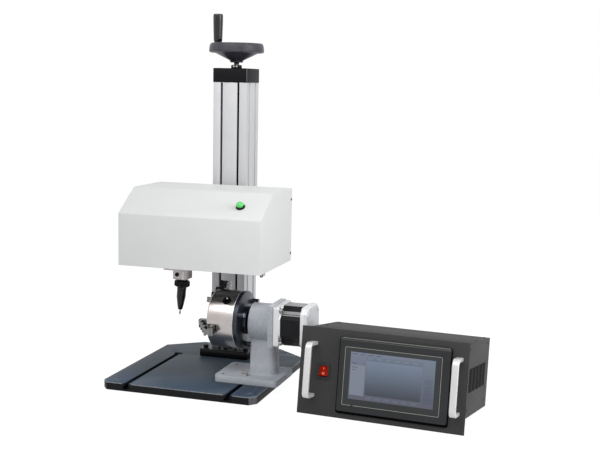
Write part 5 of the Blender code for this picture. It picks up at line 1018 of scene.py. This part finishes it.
def bracket_pieces():
    """Clamp screws with washers, dowels, and the motor's flange screws, tie strips and rear cover."""
    clamps = [at(SLOT_X, y, BRACKET_TOP) for y in CLAMP_Y]
    washer = [(0.0045, 0), (0.0085, 0), (0.0088, 0.0003)]
    washer += [(0.0088, 0.0013), (0.0085, 0.0016), (0.0045, 0.0016)]
    screws("clamp_plate", washer, clamps, "stand", "bright", 32)
    heads = [at(SLOT_X, y, BRACKET_TOP + 0.0017) for y in CLAMP_Y]
    screws("table_clamp", cap_screw(0.0064, 0.0080), heads, "stand", "bright")
    dowels = [at(0.066, y, BRACKET_TOP - 0.0040) for y in (-0.234, -0.153)]
    dowel = [(0, 0), (0.0029, 0), (0.0029, 0.0037), (0.0024, 0.0042), (0, 0.0042)]
    screws("dowel", dowel, dowels, "stand", "black", 20)

    mount = motor_corners(MOTOR_FLANGE, 0.0352)
    screws("flange_screw", cap_screw(0.0042, 0.0062), mount, "stand", "ground")
    spring = [(0.0036, 0), (0.0060, 0), (0.0060, 0.0012), (0.0036, 0.0014)]
    screws("flange_washer", spring, mount, "stand", "bright")
    face = -0.061 * math.sqrt(0.5) - 0.0004
    groove, back = face + 0.0010, face + 0.0012
    strip = [(back, -0.0035), (back, 0.0081), (face, 0.0081), (face, 0.0056)]
    strip += [(groove, 0.0053), (groove, 0.0041), (face, 0.0038), (face, 0.0014)]
    strip += [(groove, 0.0011), (groove, -0.0001), (face, -0.0004), (face, -0.0035)]
    # Painted shade: the two lower strips take the dark lamination finish, the two upper ones the grey strip
    # finish.
    for number, side, shade in ((1, -1, "stack"), (2, 1, "stack"), (3, -1, "strip"), (4, 1, "strip")):
        turn = Matrix.Rotation(math.radians(45 + 90 * number), 4, "X")
        place = at(0.1934, AXIS_Y, AXIS_Z) @ turn @ UP_X @ DOWN_Y
        mesh = slab("tie_strip", [(x, side * z) for x, z in strip], 0, 0.0420)
        add_piece(f"tie_strip_{number}", mesh, "stand", shade, place, 0.0003)

    place = at(0, AXIS_Y, AXIS_Z, Matrix.Rotation(math.radians(-90), 4, "Z"))
    for name, half, cut, low, high, shade in (
        ("rear_shell", 0.0424, 0.0103, 0.2450, 0.2502, "bell"),
        ("rear_plate", 0.0400, 0.0110, 0.2500, MOTOR_REAR, "rear"),
    ):
        edge = half - cut
        outline = [(-edge, -half), (edge, -half), (half, -edge), (half, edge)]
        outline += [(-x, -z) for x, z in outline]
        add_piece(name, slab(name, outline, low, high), "stand", shade, place, 0.0008)
    rear = motor_corners(MOTOR_REAR, 0.0310)
    screws("bell_screw", pan_screw(0.0032, 0.0012), rear, "stand", "rear")


def screen_pieces():
    """The frame's light line, which is a painted highlight, a dark band round the frame that paints its
    shadow, its tab, and a plain, nameless control screen.
    """
    front = FRAME_FRONT
    # Painted highlight: a light line round the frame's inner edge.
    outside = rounded_loop(0.0948, 0.0288, 0.2892, 0.1427, 0.0030)
    inside = rounded_loop(0.0958, 0.0298, 0.2882, 0.1417, 0.0022)
    line = frame_slab("bezel_line", outside, inside, front - 0.0004, front + 0.0003)
    add_piece("bezel_line", line, "stand", "line", BOX_SPACE)
    # Painted shadow: a dark band round the frame, widest below it, where the frame shades the panel.
    outside = rounded_loop(0.0812, 0.0104, 0.3060, 0.1606, 0.0050)
    inside = rounded_loop(0.0842, 0.0160, 0.3038, 0.1600, 0.0040)
    painted_shadow = frame_slab("frame_shadow_band", outside, inside, -0.0022, -0.0001)
    add_piece("frame_shadow_band", painted_shadow, "stand", "painted_shadow", BOX_SPACE)
    outline = rounded_loop(0.1135, 0.0262, 0.1180, 0.0306, 0.0008, 3)
    tab = slab("bezel_tab", outline, front - 0.0009, front + 0.0002)
    add_piece("bezel_tab", tab, "stand", "bezel", BOX_SPACE)

    left, right, low, high = 0.1070, 0.2765, 0.0420, 0.1340
    lit = front - 0.0002
    for area, (x0, z0, x1, z1), top, bottom, rise in (
        ("back", (left, low, right, high), (112, 118, 134), (88, 90, 102), 0.0),
        ("bar", (0.1400, 0.1197, 0.2520, 0.1285), (104, 114, 127), (98, 108, 122), 0.0001),
        ("list", (left + 0.0015, 0.0503, 0.1380, 0.1092), (120, 127, 138), (116, 122, 136), 0.0001),
        ("window", (0.1402, 0.0528, 0.2512, 0.1192), (112, 124, 141), (66, 70, 78), 0.0001),
        ("tools", (0.2532, 0.0500, right - 0.001, high - 0.001), (110, 121, 135), (84, 88, 102), 0.0001),
    ):
        name = "screen_" + area
        shade = screen_finish(name, top, bottom, z0, z1)
        mesh = slab(name, rounded_loop(x0, z0, x1, z1, 0.0003, 2), lit - rise, lit + 0.0006)
        add_piece(name, mesh, "stand", shade, BOX_SPACE)

    light = screen_finish("screen_marks", (112, 122, 136), (98, 101, 114), low, high)
    dark = screen_finish("screen_text", (84, 90, 104), (78, 80, 94), low, high)
    near, raised, deep = lit - 0.0002, lit - 0.0003, 0.0003
    marks = []
    for row in range(2):
        z = 0.1040 - row * 0.0050
        marks.append(tile(left + 0.004, z, left + 0.016 - 0.005 * row, z + 0.0013, near, 0.0002))
    marks.append(tile(left + 0.004, 0.1115, left + 0.013, 0.1130, near, deep))
    marks.append(tile(left + 0.026, 0.1112, left + 0.029, 0.1132, near, deep))
    for column in range(4):
        x = left + 0.004 + column * 0.016
        marks.append(tile(x, high - 0.0042, x + 0.009, high - 0.0028, near, deep))
    for row in range(4):
        z = 0.0570 + row * 0.0105
        outer = rounded_loop(0.2580, z, 0.2720, z + 0.0080, 0.001, 3)
        inner = rounded_loop(0.2586, z + 0.0006, 0.2714, z + 0.0074, 0.0006, 3)
        marks.append(frame_slab("icon", outer, inner, raised, lit))
        marks.append(tile(0.2615, z + 0.0028, 0.2685, z + 0.0042, near, 0.0002))
    add_piece("screen_text", merged("screen_text", marks), "stand", dark, BOX_SPACE)
    lines = [tile(left + 0.001, high - 0.0060, right - 0.001, high - 0.0055, near, deep, 0.0001)]
    for column in range(6):
        x = 0.1420 + column * 0.0180
        lines.append(tile(x, 0.1222, x + 0.0110, 0.1262, raised, deep, 0.0008))
        lines.append(tile(x, low + 0.0030, x + 0.0120, low + 0.0072, near, deep, 0.0008))
    for row in range(3):
        z = 0.1020 + row * 0.0080
        lines.append(tile(0.2580, z, 0.2720, z + 0.0006, raised, deep, 0.0001))
    add_piece("screen_lines", merged("screen_lines", lines), "stand", light, BOX_SPACE)


def control_pieces():
    """Rocker marks, lid screws, louvre blades and ribs, inlet pins, and the ports' inserts and threads."""
    lean = math.radians(9)
    rocker = BOX_SPACE @ at(0.051, 0.0035, 0.088) @ Matrix.Rotation(-lean, 4, "X")
    middle = 0.0049
    depth = -0.0042 - middle * math.tan(lean)
    upper = rocker @ at(0, depth, middle, Matrix.Rotation(lean, 4, "X"))
    lower = rocker @ at(0, depth, -middle, Matrix.Rotation(-lean, 4, "X"))
    bar = slab("rocker_bar", rounded_loop(-0.0006, -0.0022, 0.0006, 0.0022, 0.0003, 3), -0.00025, 0.0003)
    add_piece("rocker_bar", bar, "rocker", "mark", upper)
    outside = rounded_loop(-0.0023, -0.0023, 0.0023, 0.0023, 0.0022)
    inside = rounded_loop(-0.0014, -0.0014, 0.0014, 0.0014, 0.0013)
    ring = frame_slab("rocker_ring", outside, inside, -0.00025, 0.0003)
    add_piece("rocker_ring", ring, "rocker", "mark", lower)

    lid = []
    for y in (0.020, 0.185):
        for z in (0.045, 0.160):
            lid += [at(LID_RIGHT, y, z, UP_X), at(LID_LEFT, y, z, DOWN_X)]
    lid += [at(x, LID_REAR, z, UP_Y) for x in (0.020, 0.318) for z in (0.045, 0.150)]
    lid += [at(x, y, LID_TOP) for x in (0.012, 0.326) for y in (0.020, 0.110, 0.190)]
    lid = [BOX_SPACE @ place for place in lid]
    screws("lid_screw", pan_screw(0.0030, 0.0014), lid, "stand", "black")

    # Near-black blades, painted shade for the dark inside of the vents, and dark strips over the lid's ribs
    # between them.
    blades = []
    ribs = []
    for number in range(5):
        start = LOUVRE_START + LOUVRE_PITCH * number
        for side, x in ((-1, 0.0026), (1, 0.3354)):
            if number:
                near, far = sorted((x, x + side * 0.0008))
                outline = [(near, start - 0.0071), (far, start - 0.0071), (far, start), (near, start)]
                ribs.append(upright("rib", outline, LOUVRE_HIGH, LOUVRE_LOW))
            outline = [(x, start - 0.0004), (x, start + 0.0249), (x - side * 0.0006, start + 0.0249)]
            outline += [(x - side * 0.0052, start + 0.0030), (x - side * 0.0052, start - 0.0004)]
            blades.append(upright("blade", outline, LOUVRE_LOW, LOUVRE_HIGH))
    add_piece("louvre_blades", merged("louvre_blades", blades), "stand", "louvre", BOX_SPACE)
    add_piece("louvre_ribs", merged("louvre_ribs", ribs), "stand", "rib", BOX_SPACE)

    for number, x, z in ((1, INLET_X + 0.010, 0.0600), (2, INLET_X - 0.010, 0.0600), (3, INLET_X, 0.0655)):
        outline = rounded_loop(x - 0.0009, z - 0.0022, x + 0.0009, z + 0.0022, 0.0003, 2)
        pin = slab("inlet_pin", outline, 0.1905, 0.2040)
        add_piece(f"inlet_pin_{number}", pin, "stand", "pin", BOX_SPACE)
    insert = [(0, 0), (0.0064, 0), (0.0064, 0.0030), (0, 0.0030)]
    thread = [(0.0096, 0), (0.0102, 0.0004), (0.0102, 0.0010), (0.0096, 0.0014)]
    for number, x in ((1, PORT_X - 0.025), (3, PORT_X + 0.025)):
        place = BOX_SPACE @ at(x, 0.2054, REAR_Z, UP_Y)
        turned(f"port_insert_{number}", insert, 32, "stand", "gloss", place)
        for turn in range(4):
            place = BOX_SPACE @ at(x, 0.2068 + 0.0018 * turn, REAR_Z, UP_Y)
            turned(f"port_thread_{number}_{turn + 1}", thread, 40, "stand", "bright", place)
    plate = [at(PORT_X + x, 0.2053, REAR_Z + z, UP_Y) for x in (-0.050, 0.050) for z in (-0.012, 0.012)]
    plate = [BOX_SPACE @ place for place in plate]
    screws("port_screw", pan_screw(0.0024, 0.0012), plate, "stand", "black")
    flange = [BOX_SPACE @ at(INLET_X + x, 0.2058, REAR_Z, UP_Y) for x in (-0.0195, 0.0195)]
    screws("inlet_screw", pan_screw(0.0024, 0.0010), flange, "stand", "black")


def main():
    bpy.context.scene.view_settings.view_transform = "Standard"
    make_camera()
    make_stage()
    make_lamps()
    dress_nodes()
    wheel_pieces()
    stand_pieces()
    head_pieces()
    stylus_pieces()
    chuck_pieces()
    bracket_pieces()
    screen_pieces()
    control_pieces()


main()
